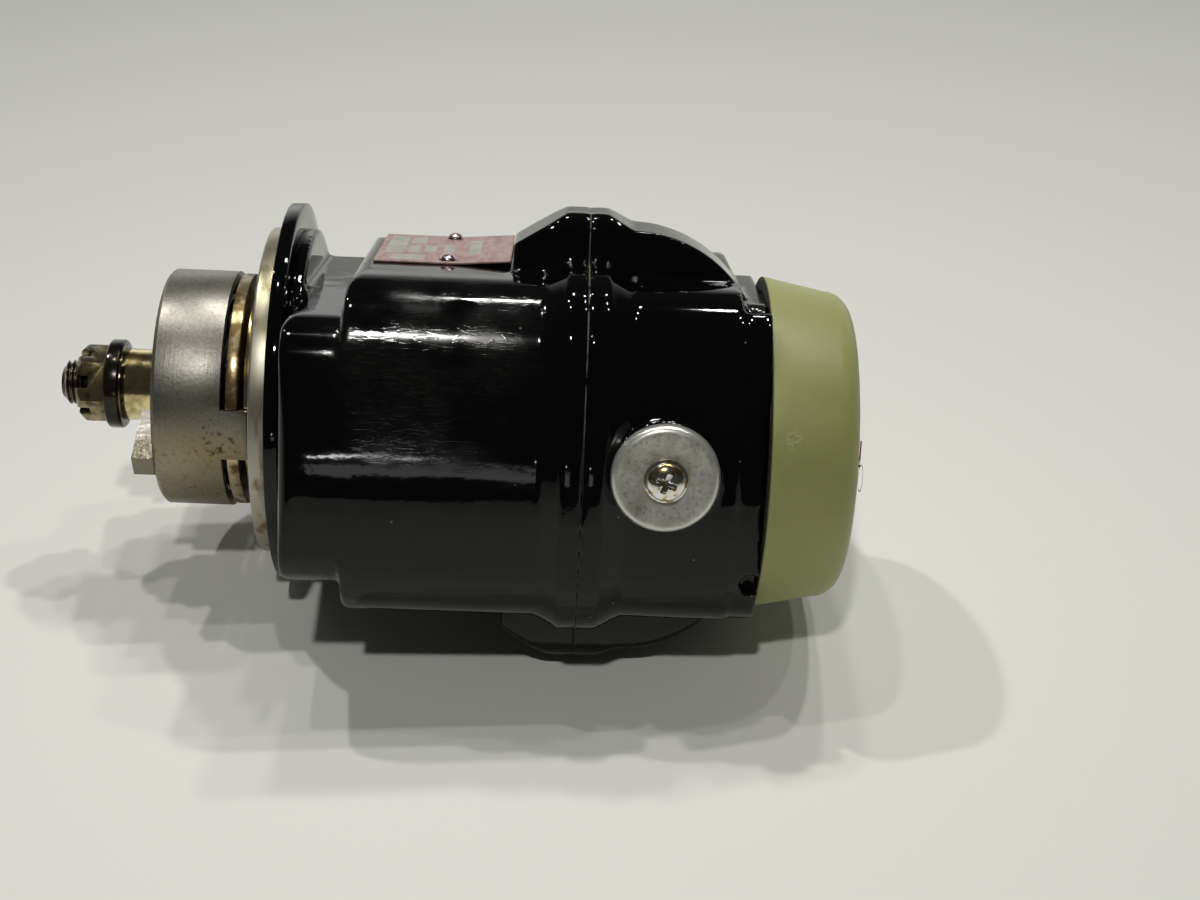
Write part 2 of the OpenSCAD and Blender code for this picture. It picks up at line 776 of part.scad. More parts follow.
module balls(n, pitch, ball, xm) {
  color("#c8cacc") for (k = [0 : n - 1]) rotate([360 * k / n, 0, 0]) translate([xm, pitch, 0])
    sphere(d = ball, $fn = 32);
}

front_pitch = (shaft_r + front_od / 2) / 2;
rear_pitch = (tail_d + rear_od) / 4;
front_land = front_ball / 2 - 0.6;
rear_land = rear_ball / 2 - 0.5;

module front_bearing_outer() {
  race(front_pitch + front_land, front_od / 2, x_front, front_w, front_pitch, front_ball);
}

module front_bearing_balls() {
  balls(9, front_pitch, front_ball, x_front + front_w / 2);
}

module front_bearing_inner() {
  race(shaft_r, front_pitch - front_land, x_front, front_w, front_pitch, front_ball);
}

module rear_bearing_outer() {
  race(rear_pitch + rear_land, rear_od / 2, x_bar, rear_w, rear_pitch, rear_ball);
}

module rear_bearing_balls() {
  balls(7, rear_pitch, rear_ball, x_bar + rear_w / 2);
}

module rear_bearing_inner() {
  race(tail_d / 2, rear_pitch - rear_land, x_bar, rear_w, rear_pitch, rear_ball);
}

bar_r = 24;
bar_screw_z = 20.5;

module bearing_bar() {
  color("#a3a5a6") difference() {
    along_x(x_bar, x_bar_end) union() {
      circle(r = bar_r);
      translate([axis_y, 0]) circle(r = bush_d);
      translate([axis_y, -bush_d]) square([gear_offset, 2 * bush_d]);
    }
    rod(x_bar - 1, x_bar + rear_w, rear_od);
    rod(x_bar, x_bar_end + 1, rear_od - 3);
    at_distributor() rod(x_bar - 1, x_bar_end + 1, bush_d);
    both_sides() translate([0, 0, bar_screw_z]) rod(x_bar - 1, x_bar_end + 1, screw_d);
  }
}

module bar_screws() {
  color("#8a8a84") both_sides() translate([0, 0, bar_screw_z]) {
    rod(x_bar - 8, x_bar_end + eps, screw_d);
    rod(x_bar_end, x_bar_end + 2.6, 6.6);
  }
}

module bar_bush() {
  color("#b08d4a") at_distributor() tube(x_bar, x_bar_end, bush_d, axle_d + 2 * run);
}

// Laminated shoes over and under the rotor, with a leg to the coil core.
module pole_shoes() {
  color("#6f7276") both_sides() difference() {
    along_x(x_shoe, x_bar) intersection() {
      outline(half_h, corner_r, wall);
      union() {
        translate([-14, 9]) square([28, half_h]);
        translate([core_y, shoe_leg_z]) square([20, half_h]);
      }
    }
    rod(0, x_end, 2 * shoe_r);
    translate([0, 0, bar_screw_z]) rod(x_bar - 9, x_bar + 1, screw_d);
  }
}

module core_bar() {
  translate([x_core, core_y - core_t, -(half_h - wall - 0.8)])
    cube([core_w, core_t, 2 * (half_h - wall - 0.8)]);
}

module coil_core() {
  color("#666a6e") core_bar();
}

module coil_winding() {
  y0 = core_y - core_t - winding_t;
  y1 = core_y + 5.5;
  color("#7a2f1c") difference() {
    translate([x_core - winding_side, y0, -winding_h / 2])
      cube([core_w + 2 * winding_side, y1 - y0, winding_h]);
    core_bar();
  }
}

module coil_wedges() {
  color("#9a9a94") both_sides() translate([x_core + 2, core_y - core_t - wedge_t, shoe_leg_z + 0.4])
    cube([core_w - 4, wedge_t, half_h - wall - shoe_leg_z - 1.2]);
}

module base_posts() {
  for (z = [-13, 13]) translate([0, 16, z]) children();
}

module breaker_base() {
  color("#a8a28c") {
    base_posts() rod(x_bar_end, x_base + eps, 5);
    difference() {
      along_x(x_base, x_base + base_t) union() {
        translate([11, -15.5]) square([10, 31]);
        translate([7, 9]) square([4, 5]);
      }
      translate([0, arm_pivot[0], arm_pivot[1]]) rod(0, x_end, 3);
    }
  }
}

module breaker_pivot() {
  color("#b9b9b4") translate([0, arm_pivot[0], arm_pivot[1]]) rod(x_base + eps, x_arm + arm_w + 1, 3);
}

module fixed_contact() {
  color("#c5c1b4") along_x(x_base + base_t, x_arm + arm_w) translate([7, 9.5])
    square([3, 4]);
}

module breaker_arm() {
  x1 = x_arm + arm_w;
  tip = 10 + contact_gap;
  color("#8f3f22") difference() {
    along_x(x_arm, x1) union() {
      translate(arm_pivot) circle(r = 3.4);
      polygon([arm_pivot - [3.4, 0], arm_pivot + [3.2, 0], [14.4, 13.5], [tip, 13.5], [tip, 9.5],
        [11.4, 3], [cam_lobe + cam_play, 1.6], [cam_lobe + cam_play, -1.6], [11.6, -3]]);
    }
    translate([0, arm_pivot[0], arm_pivot[1]]) rod(0, x_end, 3 + 2 * run);
  }
}

module at_towers() {
  for (a = [45 : 90 : 315]) at_distributor() rotate([a, 0, 0]) translate([0, tower_pcd, 0]) children();
}

module at_block_screws() {
  both_sides() translate([0, axis_y, plug_d / 2 + 2]) children();
}

module distributor_block() {
  color("#3a2420") difference() {
    union() {
      at_distributor() rod(x_block, x_end + eps, plug_d);
      at_distributor() rod(x_end, x_end + block_t, block_d);
      at_distributor() rod(x_hubface, x_block + eps, finger_d);
      at_towers() rod(x_end + block_t - eps, x_end + block_t + tower_h, tower_d);
    }
    at_distributor() rod(x_hubface - 1, x_axle_end, bush_d);
    at_distributor() rod(x_hubface, x_end + 1, 5);
    at_towers() rod(x_hubface, x_end + block_t + tower_h + 1, electrode_d);
    at_towers() rod(x_end + block_t + 3, x_end + block_t + tower_h + 1, 6);
    at_block_screws() rod(x_end - 7, x_end + block_t + 1, 3);
  }
}

module block_bush() {
  color("#b08d4a") at_distributor() tube(x_hubface, x_axle_end, bush_d, axle_d + 2 * run);
}

module block_electrodes() {
  color("#b5a36a") at_towers() rod(x_electrode, x_end + block_t + 3, electrode_d);
}

module block_screws() {
  color("#8a8a84") at_block_screws() {
    rod(x_end - 5, x_end + block_t + eps, 3);
    rod(x_end + block_t, x_end + block_t + 1.8, 4.4);
  }
}

module carbon_brush() {
  color("#2a2a2c") at_distributor() rod(x_axle_end + fit, x_end, 5);
}

module key_disc() {
  intersection() {
    translate([x_key, 0, drive_shaft_d / 2 - 1]) rotate([90, 0, 0])
      cylinder(h = key_t, r = key_r, center = true);
    translate([x_key - key_r, -key_t, 0]) cube([2 * key_r, 2 * key_t, key_top]);
  }
}

module rotor_shaft() {
  c = 1;
  color("#8d8f90") difference() {
    turned() polygon([[0, x_tip], [thread_d / 2 - c, x_tip], [thread_d / 2, x_tip + c],
      [thread_d / 2, x_neck + 2], [drive_shaft_d / 2, x_neck + 4], [drive_shaft_d / 2, x_hub],
      [shaft_r, x_hub], [shaft_r, x_front_end], [shaft_r + 2, x_front_end], [shaft_r + 2, x_collar],
      [shaft_r, x_collar], [shaft_r, x_bar - 1.8], [tail_d / 2 + 1, x_bar - 1.8],
      [tail_d / 2 + 1, x_bar], [tail_d / 2, x_bar], [tail_d / 2, cam_end], [0, cam_end]]);
    key_disc();
    rod(cam_end - 8, cam_end + 1, 4);
  }
}

module rotor_magnet() {
  color("#55585c") difference() {
    intersection() {
      rod(x_magnet, x_magnet_end, rotor_d);
      translate([x_magnet, -rotor_d, -magnet_t / 2]) cube([magnet_l, 2 * rotor_d, magnet_t]);
    }
    rod(0, x_end, shaft_d);
  }
}

module rotor_poles() {
  z0 = magnet_t / 2;
  color("#74787c") both_sides() intersection() {
    rod(x_magnet, x_magnet_end, rotor_d);
    translate([x_magnet, -rotor_d, z0]) cube([magnet_l, 2 * rotor_d, rotor_d]);
  }
}

module rotor_end_plates() {
  color("#b59a5a") {
    tube(x_magnet - plate_gap, x_magnet, rotor_d - 2, shaft_d);
    tube(x_magnet_end, x_magnet_end + plate_gap, rotor_d - 2, shaft_d);
  }
}

module rotor_gear() {
  color("#9aa0a4") along_x(x_gear, x_gear + pinion_w) difference() {
    gear_rim(pinion_teeth, gear_m, 180 / pinion_teeth);
    circle(d = tail_d);
  }
}

module breaker_cam() {
  off = cam_lobe - 3;
  color("#868a8e") along_x(x_cam, cam_end) difference() {
    union() {
      circle(r = cam_base);
      translate([off, 0]) circle(r = 3);
      translate([-off, 0]) circle(r = 3);
    }
    circle(d = tail_d);
  }
}

module cam_screw() {
  color("#a0a09a") {
    rod(cam_end - 8, cam_end + eps, 4);
    rod(cam_end, cam_end + 2.4, 9);
  }
}

module woodruff_key() {
  color("#7b7d80") key_disc();
}

module at_fly_pivots() {
  for (a = [0, 180]) rotate([a, 0, 0]) translate([0, 0, fly_r]) children();
}

module coupling_hub() {
  color("#b08f45") difference() {
    union() {
      rod(x_neck, x_hub, hub_neck_d);
      rod(x_hub - hub_plate_t, x_hub, hub_plate_d);
    }
    rod(x_neck - 1, x_hub + 1, drive_shaft_d);
    translate([x_key - key_r, -key_t / 2, 0]) cube([x_hub - x_key + key_r + 1, key_t, key_top]);
    at_fly_pivots() rod(x_hub - 9, x_hub + 1, fly_pin_d);
  }
}

module flyweight_pins() {
  color("#8a8a84") at_fly_pivots() {
    rod(x_hub - hub_plate_t, x_fly_end + 0.3, fly_pin_d);
    rod(x_fly_end + 0.25, x_fly_end + 1.2, fly_pin_d + 2.4);
  }
}

// A heavy heel on one side of the pivot and a catching toe on the other.
module flyweight() {
  heel = [-15, -5];
  toe = [10, 4];
  color("#6f6a60") translate([0, 0, fly_r]) difference() {
    along_x(x_fly, x_fly_end) union() {
      circle(r = 4.4);
      translate(heel) circle(r = 4.8);
      polygon([[0, 4.2], heel + [-1.6, 4.4], heel + [1.6, -4.4], [0, -4.2]]);
      translate(toe) circle(r = 2.4);
      polygon([[0, 4.2], [0, -4.2], toe + [0.8, -2.2], toe + [-0.8, 2.2]]);
    }
    rod(-40, 40, fly_pin_d + 2 * run);
  }
}

module flyweight_a() {
  flyweight();
}

module flyweight_b() {
  rotate([180, 0, 0]) flyweight();
}

module drive_washer() {
  e = 0.9;
  color("#3a3026") difference() {
    turned() polygon([[0, x_washer], [washer_d / 2 - e, x_washer], [washer_d / 2, x_washer + e],
      [washer_d / 2, x_neck - e], [washer_d / 2 - e, x_neck], [0, x_neck]]);
    rod(x_washer - 1, x_neck + 1, thread_d + 0.2);
  }
}

module castle_nut() {
  d = nut_af / cos(30);
  color("#6b6740") difference() {
    intersection() {
      translate([x_nut, 0, 0]) rotate([0, 90, 0]) rotate(nut_turn) cylinder(h = nut_h, d = d, $fn = 6);
      turned() polygon([[0, x_nut], [nut_af / 2 - 0.3, x_nut], [d / 2 + 0.2, x_nut + 1.4],
        [d / 2 + 0.2, x_washer], [0, x_washer]]);
    }
    rod(x_nut - 1, x_washer + 1, thread_d);
    for (k = [0 : 2]) rotate([60 * k + nut_turn, 0, 0]) translate([x_nut - 1, -d, -slot_w / 2])
      cube([slot_depth + 1, 2 * d, slot_w]);
  }
}

module sector(a) {
  r = 40;
  polygon([[0, 0], [r * cos(a / 2), -r * sin(a / 2)], [r * cos(a / 2), r * sin(a / 2)]]);
}

module tabs(r_in, r_out, x0, x1) {
  for (t = [180, 0]) along_x(x0, x1) intersection() {
    difference() {
      circle(r = r_out);
      circle(r = r_in);
    }
    rotate(t + tab_turn) sector(tab_angle);
  }
}

module coupling_shell() {
  c = 0.8;
  color("#8b8a80") {
    difference() {
      turned() polygon([[0, x_shell], [shell_r - c, x_shell], [shell_r, x_shell + c], [shell_r, x_rim],
        [0, x_rim]]);
      rod(x_shell + shell_front, x_rim + 1, 2 * shell_in);
      rod(x_shell - 1, x_rim, hub_neck_d + 2 * run);
    }
    tabs(shell_in, shell_r, x_rim - eps, x_tab);
    for (t = [180, 0]) rotate([t + lug_turn, 0, 0])
      translate([x_shell - lug_h, hub_neck_d / 2 + 2, -lug_w / 2])
        cube([lug_h + eps, shell_r - hub_neck_d / 2 - 3.5, lug_w]);
  }
}

module spring_cover() {
  color("#7d6a3c") difference() {
    along_x(x_cover, x_cover + cover_t) difference() {
      circle(d = cover_d);
      circle(d = hub_neck_d + 1);
    }
    tabs(shell_in, shell_r + 2, x_rim, x_tab);
  }
}

// Clock spring between the hub and the shell.
module coupling_spring() {
  n = 30 * spring_turns;
  r0 = hub_neck_d / 2 + 0.6;
  r1 = shell_in - spring_t - 0.1;
  function at(k, o) = let (r = r0 + (r1 - r0) * k / n + o, a = 360 * spring_turns * k / n)
    [r * cos(a), r * sin(a)];
  x0 = x_rim - spring_w - 1;
  color("#4f5560") along_x(x0, x0 + spring_w)
    polygon(concat([for (k = [0 : n]) at(k, 0)], [for (k = [n : -1 : 0]) at(k, spring_t)]));
}

module distributor_gear() {
  color("#d8d2c0") at_distributor() along_x(x_gear + 0.5, x_gear + 0.5 + gear_w) difference() {
    gear_rim(2 * pinion_teeth, gear_m, 0);
    circle(d = axle_d);
  }
}

module distributor_axle() {
  color("#9a9c9e") at_distributor() rod(x_bar, x_axle_end, axle_d);
}

module distributor_finger() {
  color("#3b2a24") at_distributor() tube(x_gear + 0.5 + gear_w, x_finger_end - 2, finger_d, axle_d);
}

module finger_electrode() {
  color("#c2a85a") at_distributor() difference() {
    union() {
      rod(x_finger_end - 2, x_finger_end, axle_d + 4);
      translate([x_finger_end - 2, 0, -2.5]) cube([2, finger_reach, 5]);
    }
    rod(0, x_end, axle_d);
  }
}

drive_housing();
distributor_housing();
protective_cap();
cap_wire();
data_plate();
plate_rivets();
housing_screws();
dowel_pins();
condenser_can();
terminal_washer();
terminal_screw();
shaft_seal();
stop_pin();
front_bearing_outer();
front_bearing_balls();
front_bearing_inner();
rear_bearing_outer();
rear_bearing_balls();
rear_bearing_inner();
bearing_bar();
bar_screws();
bar_bush();
pole_shoes();
coil_core();
coil_winding();
coil_wedges();
breaker_base();
breaker_pivot();
fixed_contact();
breaker_arm();
distributor_block();
block_bush();
block_electrodes();
block_screws();
carbon_brush();
rotor_shaft();
rotor_magnet();
rotor_poles();
rotor_end_plates();
rotor_gear();
breaker_cam();
cam_screw();
woodruff_key();
coupling_hub();
flyweight_pins();
drive_washer();
castle_nut();
coupling_shell();
spring_cover();
coupling_spring();
flyweight_a();
flyweight_b();
distributor_gear();
distributor_axle();
distributor_finger();
finger_electrode();
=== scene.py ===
"""Aircraft magneto on a pale floor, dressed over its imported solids."""
from math import cos, pi, radians, sin

import bmesh
import bpy
from mathutils import Matrix, Vector


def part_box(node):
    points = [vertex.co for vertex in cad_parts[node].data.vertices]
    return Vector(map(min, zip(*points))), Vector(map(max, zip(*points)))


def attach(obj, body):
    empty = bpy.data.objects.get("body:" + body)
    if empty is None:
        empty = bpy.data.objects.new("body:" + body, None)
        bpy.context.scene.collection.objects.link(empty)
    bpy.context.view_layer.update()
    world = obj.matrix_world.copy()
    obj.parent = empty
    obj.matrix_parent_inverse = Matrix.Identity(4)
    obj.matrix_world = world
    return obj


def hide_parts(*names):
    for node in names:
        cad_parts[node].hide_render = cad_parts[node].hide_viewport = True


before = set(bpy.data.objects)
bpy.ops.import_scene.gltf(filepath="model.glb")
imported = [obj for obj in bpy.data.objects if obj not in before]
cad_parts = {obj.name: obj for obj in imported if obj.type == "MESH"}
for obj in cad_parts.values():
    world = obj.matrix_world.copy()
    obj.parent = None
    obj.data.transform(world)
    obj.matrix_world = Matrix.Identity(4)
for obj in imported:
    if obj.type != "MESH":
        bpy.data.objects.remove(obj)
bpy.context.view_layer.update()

# The camera stands in front of the coil side and a little above it, as in the photograph.
# Its place and turn are in the magneto's own frame, with the shaft along X.
MM = 0.001
camera_at = Vector((55.92, -423.4, 97.85)) * MM
yaw, pitch, roll = 0.028, 0.251, 0.045
focal_px, photo_px, sensor_mm = 1998, 1200, 36
forward = Vector((sin(yaw) * cos(pitch), cos(yaw) * cos(pitch), -sin(pitch)))
level = Vector((cos(yaw), -sin(yaw), 0))
above = level.cross(forward)
right = cos(roll) * level + sin(roll) * above
upward = cos(roll) * above - sin(roll) * level
bpy.ops.object.camera_add(location=camera_at)
camera = bpy.context.object
turn = Matrix((right, upward, -forward)).transposed()
camera.matrix_world = Matrix.Translation(camera_at) @ turn.to_4x4()
camera.data.sensor_fit = "HORIZONTAL"
camera.data.sensor_width = sensor_mm
camera.data.lens = sensor_mm * focal_px / photo_px
camera.data.clip_start = 0.01
bpy.context.scene.camera = camera
bpy.context.scene.view_settings.view_transform = "Standard"


# The floor is a pale sheet that the magneto lies on, touching the flange rim, the lower hump
# and the far side of the parting band. It can't be seen from below.
def new_material(name, **sockets):
    """A material with its shader's plain values set: its tree, shader and object coordinates."""
    material = bpy.data.materials.new(name)
    material.use_nodes = True
    tree = material.node_tree
    shader = tree.nodes["Principled BSDF"]
    for label, value in sockets.items():
        shader.inputs[label.replace("_", " ").title().replace("Ior", "IOR")].default_value = value
    return material, tree, shader, tree.nodes.new("ShaderNodeTexCoord").outputs["Object"]


def put(tree, kind, inputs, **settings):
    """Adds a node, sets it up, and links or fills its inputs by name or number."""
    node = tree.nodes.new(kind)
    for label, value in settings.items():
        setattr(node, label, value)
    for label, value in inputs.items():
        if isinstance(value, bpy.types.NodeSocket):
            tree.links.new(value, node.inputs[label])
        else:
            node.inputs[label].default_value = value
    return node


floor_up = Vector((-0.069, -0.291, 0.954)).normalized()
floor_touch = Vector((2.2, 12, -38.9)) * MM
floor_wide, floor_deep = 3.0, 1.17
floor_across = (Vector((1, 0, 0)) - floor_up * floor_up.x).normalized()
floor_turn = Matrix((floor_across, floor_up.cross(floor_across), floor_up)).transposed()
bpy.ops.object.select_all(action="DESELECT")
bpy.ops.mesh.primitive_plane_add(size=1)
floor = bpy.context.object
floor.name = "floor"
floor.matrix_world = (Matrix.Translation(floor_up * floor_touch.dot(floor_up))
                      @ floor_turn.to_4x4() @ Matrix.Diagonal((floor_wide, floor_deep, 1, 1)))
bpy.ops.object.transform_apply()
floor_paint, tree, shader, place = new_material(
    "pale_floor", base_color=(0.72, 0.73, 0.70, 1), roughness=0.75, specular_ior_level=0.25)
unseen = put(tree, "ShaderNodeBsdfTransparent", {})
behind = put(tree, "ShaderNodeNewGeometry", {}).outputs["Backfacing"]
seen = put(tree, "ShaderNodeMixShader",
           {0: behind, 1: shader.outputs[0], 2: unseen.outputs[0]})
tree.links.new(seen.outputs[0], tree.nodes["Material Output"].inputs["Surface"])
floor.data.materials.append(floor_paint)

# Six small ceiling lamps hang over the table and a seventh toward the viewer, all turned to its
# near half. Low down in front are a bright strip and a grey panel for the paint to mirror.
lamp_far, lamp_beam, lamp_colour = 1.5, radians(76), (1.0, 0.98, 0.94)
lamp_over, lamp_aim = Vector((40, -15, 0)) * MM, Vector((40, -40, -40)) * MM
lamps = [((0.235, -0.075, 0.969), 0.62, 0.05), ((-0.022, 0.116, 0.993), 0.38, 0.08),
         ((0.131, 0.109, 0.985), 0.44, 0.08), ((-0.403, 0.007, 0.915), 0.75, 0.05),
         ((-0.182, -0.201, 0.963), 0.36, 0.05), ((0.402, -0.164, 0.901), 0.23, 0.05),
         ((-0.09, -0.795, 0.60), 1.05, 0.07)]
for toward, watts, across in lamps:
    lamp_at = lamp_over + Vector(toward).normalized() * lamp_far
    bpy.ops.object.light_add(type="AREA", location=lamp_at)
    lamp = bpy.context.object
    lamp.rotation_euler = (lamp_at - lamp_aim).to_track_quat("Z", "Y").to_euler()
    lamp.data.shape = "DISK"
    lamp.data.size = across
    lamp.data.spread = lamp_beam
    lamp.data.energy = watts
    lamp.data.color = lamp_colour
panels = [((-0.20, -2.48, -0.59), 0.28, 0.15, 0.02), ((-0.11, -2.45, -0.71), 0.18, 0.35, 0.11)]
for panel_at, watts, wide, tall in panels:
    bpy.ops.object.light_add(type="AREA", location=panel_at)
    panel = bpy.context.object
    panel.rotation_euler = Vector(panel_at).to_track_quat("Z", "Y").to_euler()
    panel.data.shape = "RECTANGLE"
    panel.data.size, panel.data.size_y = wide, tall
    panel.data.energy = watts


# The room is a plain dark grey in front and overhead, with a pale wall behind the table. The
# wall is brightest at half its height.
def maths(tree, operation, first, second=0.0):
    """One sum on two values."""
    return put(tree, "ShaderNodeMath", {0: first, 1: second}, operation=operation).outputs[0]


def times(tree, first, second):
    """Two values multiplied."""
    return maths(tree, "MULTIPLY", first, second)


def ranged(tree, value, low, high, to_low, to_high):
    """Stretches a value from one range to another."""
    return put(tree, "ShaderNodeMapRange", {"Value": value, "From Min": low, "From Max": high,
                                            "To Min": to_low, "To Max": to_high}).outputs[0]


def axes(tree, place):
    """A place's X, Y and Z."""
    return put(tree, "ShaderNodeSeparateXYZ", {0: place}).outputs


room_level, room_colour = 0.04, (0.97, 0.98, 0.95, 1)
room = bpy.data.worlds.new("room")
bpy.context.scene.world = room
room.use_nodes = True
tree = room.node_tree
look = axes(tree, put(tree, "ShaderNodeTexCoord", {}).outputs["Generated"])
behind = ranged(tree, look["Y"], 0.1, 0.6, 0.0, 1.0)
wall_top = ranged(tree, look["Z"], 0.7, 0.4, 0.0, 1.1)
wall_foot = ranged(tree, look["Z"], 0.12, 0.4, 0.45, 1.0)
wall = times(tree, times(tree, behind, wall_top), wall_foot)
backdrop = tree.nodes["Background"].inputs
tree.links.new(maths(tree, "ADD", wall, room_level), backdrop["Strength"])
backdrop["Color"].default_value = room_colour


# The drive housing is one magnesium casting, with thick glossy black paint that rounds its
# edges. The paint is scuffed near the top corner and chipped along the parting line. The neck
# behind the flange has a flat above and below.
def only(piece):
    """Leaves one piece selected and active."""
    bpy.ops.object.select_all(action="DESELECT")
    piece.select_set(True)
    bpy.context.view_layer.objects.active = piece


def copied(node, name):
    """A copy of a solid's mesh with its loose triangles joined."""
    piece = bpy.data.objects.new(name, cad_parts[node].data.copy())
    bpy.context.collection.objects.link(piece)
    only(piece)
    piece.data.materials.clear()
    bpy.ops.mesh.customdata_custom_splitnormals_clear()
    bpy.ops.object.mode_set(mode="EDIT")
    bpy.ops.mesh.select_all(action="SELECT")
    bpy.ops.mesh.remove_doubles(threshold=2e-6)
    bpy.ops.object.mode_set(mode="OBJECT")
    return piece


def worked(piece, kind, **settings):
    """Adds one modifier and applies it."""
    only(piece)
    step = piece.modifiers.new(kind.lower(), kind)
    for label, value in settings.items():
        setattr(step, label, value)
    bpy.ops.object.modifier_apply(modifier=step.name)


def carved(piece, tool):
    """Cuts a tool's shape out of a piece and removes the tool."""
    worked(piece, "BOOLEAN", operation="DIFFERENCE", object=tool, solver="EXACT")
    bpy.data.objects.remove(tool)


def dressed(piece, material, body, *nodes, slot=None):
    """Gives a piece its material and its body, and hides the solids it stands in for."""
    piece.data.materials.append(material)
    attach(piece, body)
    if nodes:
        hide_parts(*nodes)


def cut_away(piece, at, normal):
    """Removes what lies on the side the normal points to, and closes the cut."""
    only(piece)
    bpy.ops.object.mode_set(mode="EDIT")
    bpy.ops.mesh.select_all(action="SELECT")
    bpy.ops.mesh.bisect(plane_co=at, plane_no=normal, use_fill=True, clear_outer=True)
    bpy.ops.object.mode_set(mode="OBJECT")


def softened(piece, voxel, share, *rounds):
    """Remeshes a casting and eases its edges as paint does, by rounds of (passes, from x, to x)."""
    worked(piece, "REMESH", mode="VOXEL", voxel_size=voxel)
    for passes, x_low, x_high in rounds:
        bpy.ops.object.vertex_group_add()
        bpy.ops.object.mode_set(mode="EDIT")
        bpy.ops.mesh.select_all(action="DESELECT")
        for vert in (mesh := bmesh.from_edit_mesh(piece.data)).verts:
            vert.select = x_low < vert.co.x < x_high
        mesh.select_flush(True)
        bpy.ops.object.vertex_group_assign()
        bpy.ops.object.mode_set(mode="OBJECT")
        worked(piece, "SMOOTH", factor=0.5, iterations=passes,
               vertex_group=piece.vertex_groups.active.name)
    worked(piece, "DECIMATE", ratio=share)
    bpy.ops.object.vertex_group_remove(all=True)
    bpy.ops.object.shade_smooth()


def effect(name, inputs):
    """A node group that makes a mask: its tree, inputs and output."""
    group = bpy.data.node_groups.new(name, "ShaderNodeTree")
    for label, start in inputs.items():
        kind = "NodeSocketVector" if start is None else "NodeSocketFloat"
        socket = group.interface.new_socket(label, in_out="INPUT", socket_type=kind)
        if start is not None:
            socket.default_value = start
    group.interface.new_socket("Mask", in_out="OUTPUT", socket_type="NodeSocketFloat")
    taken = group.nodes.new("NodeGroupInput").outputs
    given = group.nodes.new("NodeGroupOutput").inputs
    return group, taken, given["Mask"]


patches, taken, given = effect(
    "patches", {"Place": None, "Scale": 100.0, "Low": 0.4, "High": 0.6, "Detail": 4.0})
cloud = put(patches, "ShaderNodeTexNoise",
            {"Vector": taken["Place"], "Scale": taken["Scale"], "Detail": taken["Detail"]})
mask = ranged(patches, cloud.outputs[0], taken["Low"], taken["High"], 0.0, 1.0)
patches.links.new(mask, given)

specks, taken, given = effect(
    "specks", {"Place": None, "Scale": 500.0, "Size": 0.15, "Share": 0.5})
cells = put(specks, "ShaderNodeTexVoronoi",
            {"Vector": taken["Place"], "Scale": taken["Scale"]}).outputs
tone = put(specks, "ShaderNodeSeparateColor", {0: cells["Color"]}).outputs[0]
dot = maths(specks, "LESS_THAN", cells["Distance"], taken["Size"])
some = maths(specks, "LESS_THAN", tone, taken["Share"])
specks.links.new(times(specks, dot, some), given)

scratches, taken, given = effect("scratches", {"Place": None, "Scale": 60.0, "Width": 0.012})
line = put(scratches, "ShaderNodeTexNoise", {"Vector": taken["Place"], "Scale": taken["Scale"],
                                             "Detail": 2.0, "Distortion": 0.6})
off_line = maths(scratches, "ABSOLUTE", maths(scratches, "SUBTRACT", line.outputs[0], 0.5))
scratches.links.new(ranged(scratches, off_line, 0.0, taken["Width"], 1.0, 0.0), given)


def use(tree, group, **inputs):
    """Places an effect in a material and gives its mask."""
    named = {label.title(): value for label, value in inputs.items()}
    return put(tree, "ShaderNodeGroup", named, node_tree=group).outputs[0]


def patchy(tree, place, scale, low, high, detail=4.0):
    """A cloudy mask, empty below one level and full above another."""
    return use(tree, patches, place=place, scale=scale, low=low, high=high, detail=detail)


def noise(tree, place, scale, detail=2.0):
    """A cloudy height."""
    return put(tree, "ShaderNodeTexNoise",
               {"Vector": place, "Scale": scale, "Detail": detail}).outputs[0]


def mixed(tree, share, first, second):
    """A colour between two colours."""
    def as_colour(value):
        return value if isinstance(value, bpy.types.NodeSocket) else (*value, 1)
    return put(tree, "ShaderNodeMix", {0: share, 6: as_colour(first), 7: as_colour(second)},
               data_type="RGBA").outputs[2]


def near_point(tree, place, centre, reach):
    """A mask that fades out with the distance from a point."""
    apart = put(tree, "ShaderNodeVectorMath", {0: place, 1: centre}, operation="DISTANCE")
    return ranged(tree, apart.outputs["Value"], 0.3 * reach, reach, 1.0, 0.0)


def stretched(tree, place, scale, turned=(0, 0, 0)):
    """Object coordinates drawn out along an axis."""
    return put(tree, "ShaderNodeMapping",
               {"Vector": place, "Scale": scale, "Rotation": turned}).outputs[0]


def bumped(tree, shader, height, depth, under=None):
    """Raises the surface by a height, over any bump already made."""
    inputs = {"Height": height, "Distance": depth, "Strength": 1.0}
    if under:
        inputs["Normal"] = under
    bump = put(tree, "ShaderNodeBump", inputs).outputs[0]
    tree.links.new(bump, shader.inputs["Normal"])
    return bump


parting_x, parting_crisp = 63 * MM, 0.6 * MM
scuff_at, scuff_reach = Vector((35, -56, 22)) * MM, 26 * MM
black_paint, tree, shader, place = new_material("black_paint", ior=1.37)
split = axes(tree, place)
off_parting = maths(tree, "ABSOLUTE", maths(tree, "SUBTRACT", split["X"], parting_x))
at_parting = ranged(tree, off_parting, 0.08 * MM, 0.16 * MM, 1.0, 0.0)
chips = times(tree, at_parting, patchy(tree, place, 300.0, 0.38, 0.5))
chips = times(tree, chips, ranged(tree, split["Z"], 0, 18 * MM, 0.25, 1.0))
dust = use(tree, specks, place=place, scale=260.0, size=0.06, share=0.25)
scuffed = near_point(tree, place, scuff_at, scuff_reach)
haze = times(tree, scuffed, patchy(tree, place, 90.0, 0.3, 0.65))
streaks = stretched(tree, place, (0.3, 1.3, 1.3), (0, 0.5, 0))
hairs = times(tree, use(tree, scratches, place=streaks, scale=620.0, width=0.04), haze)
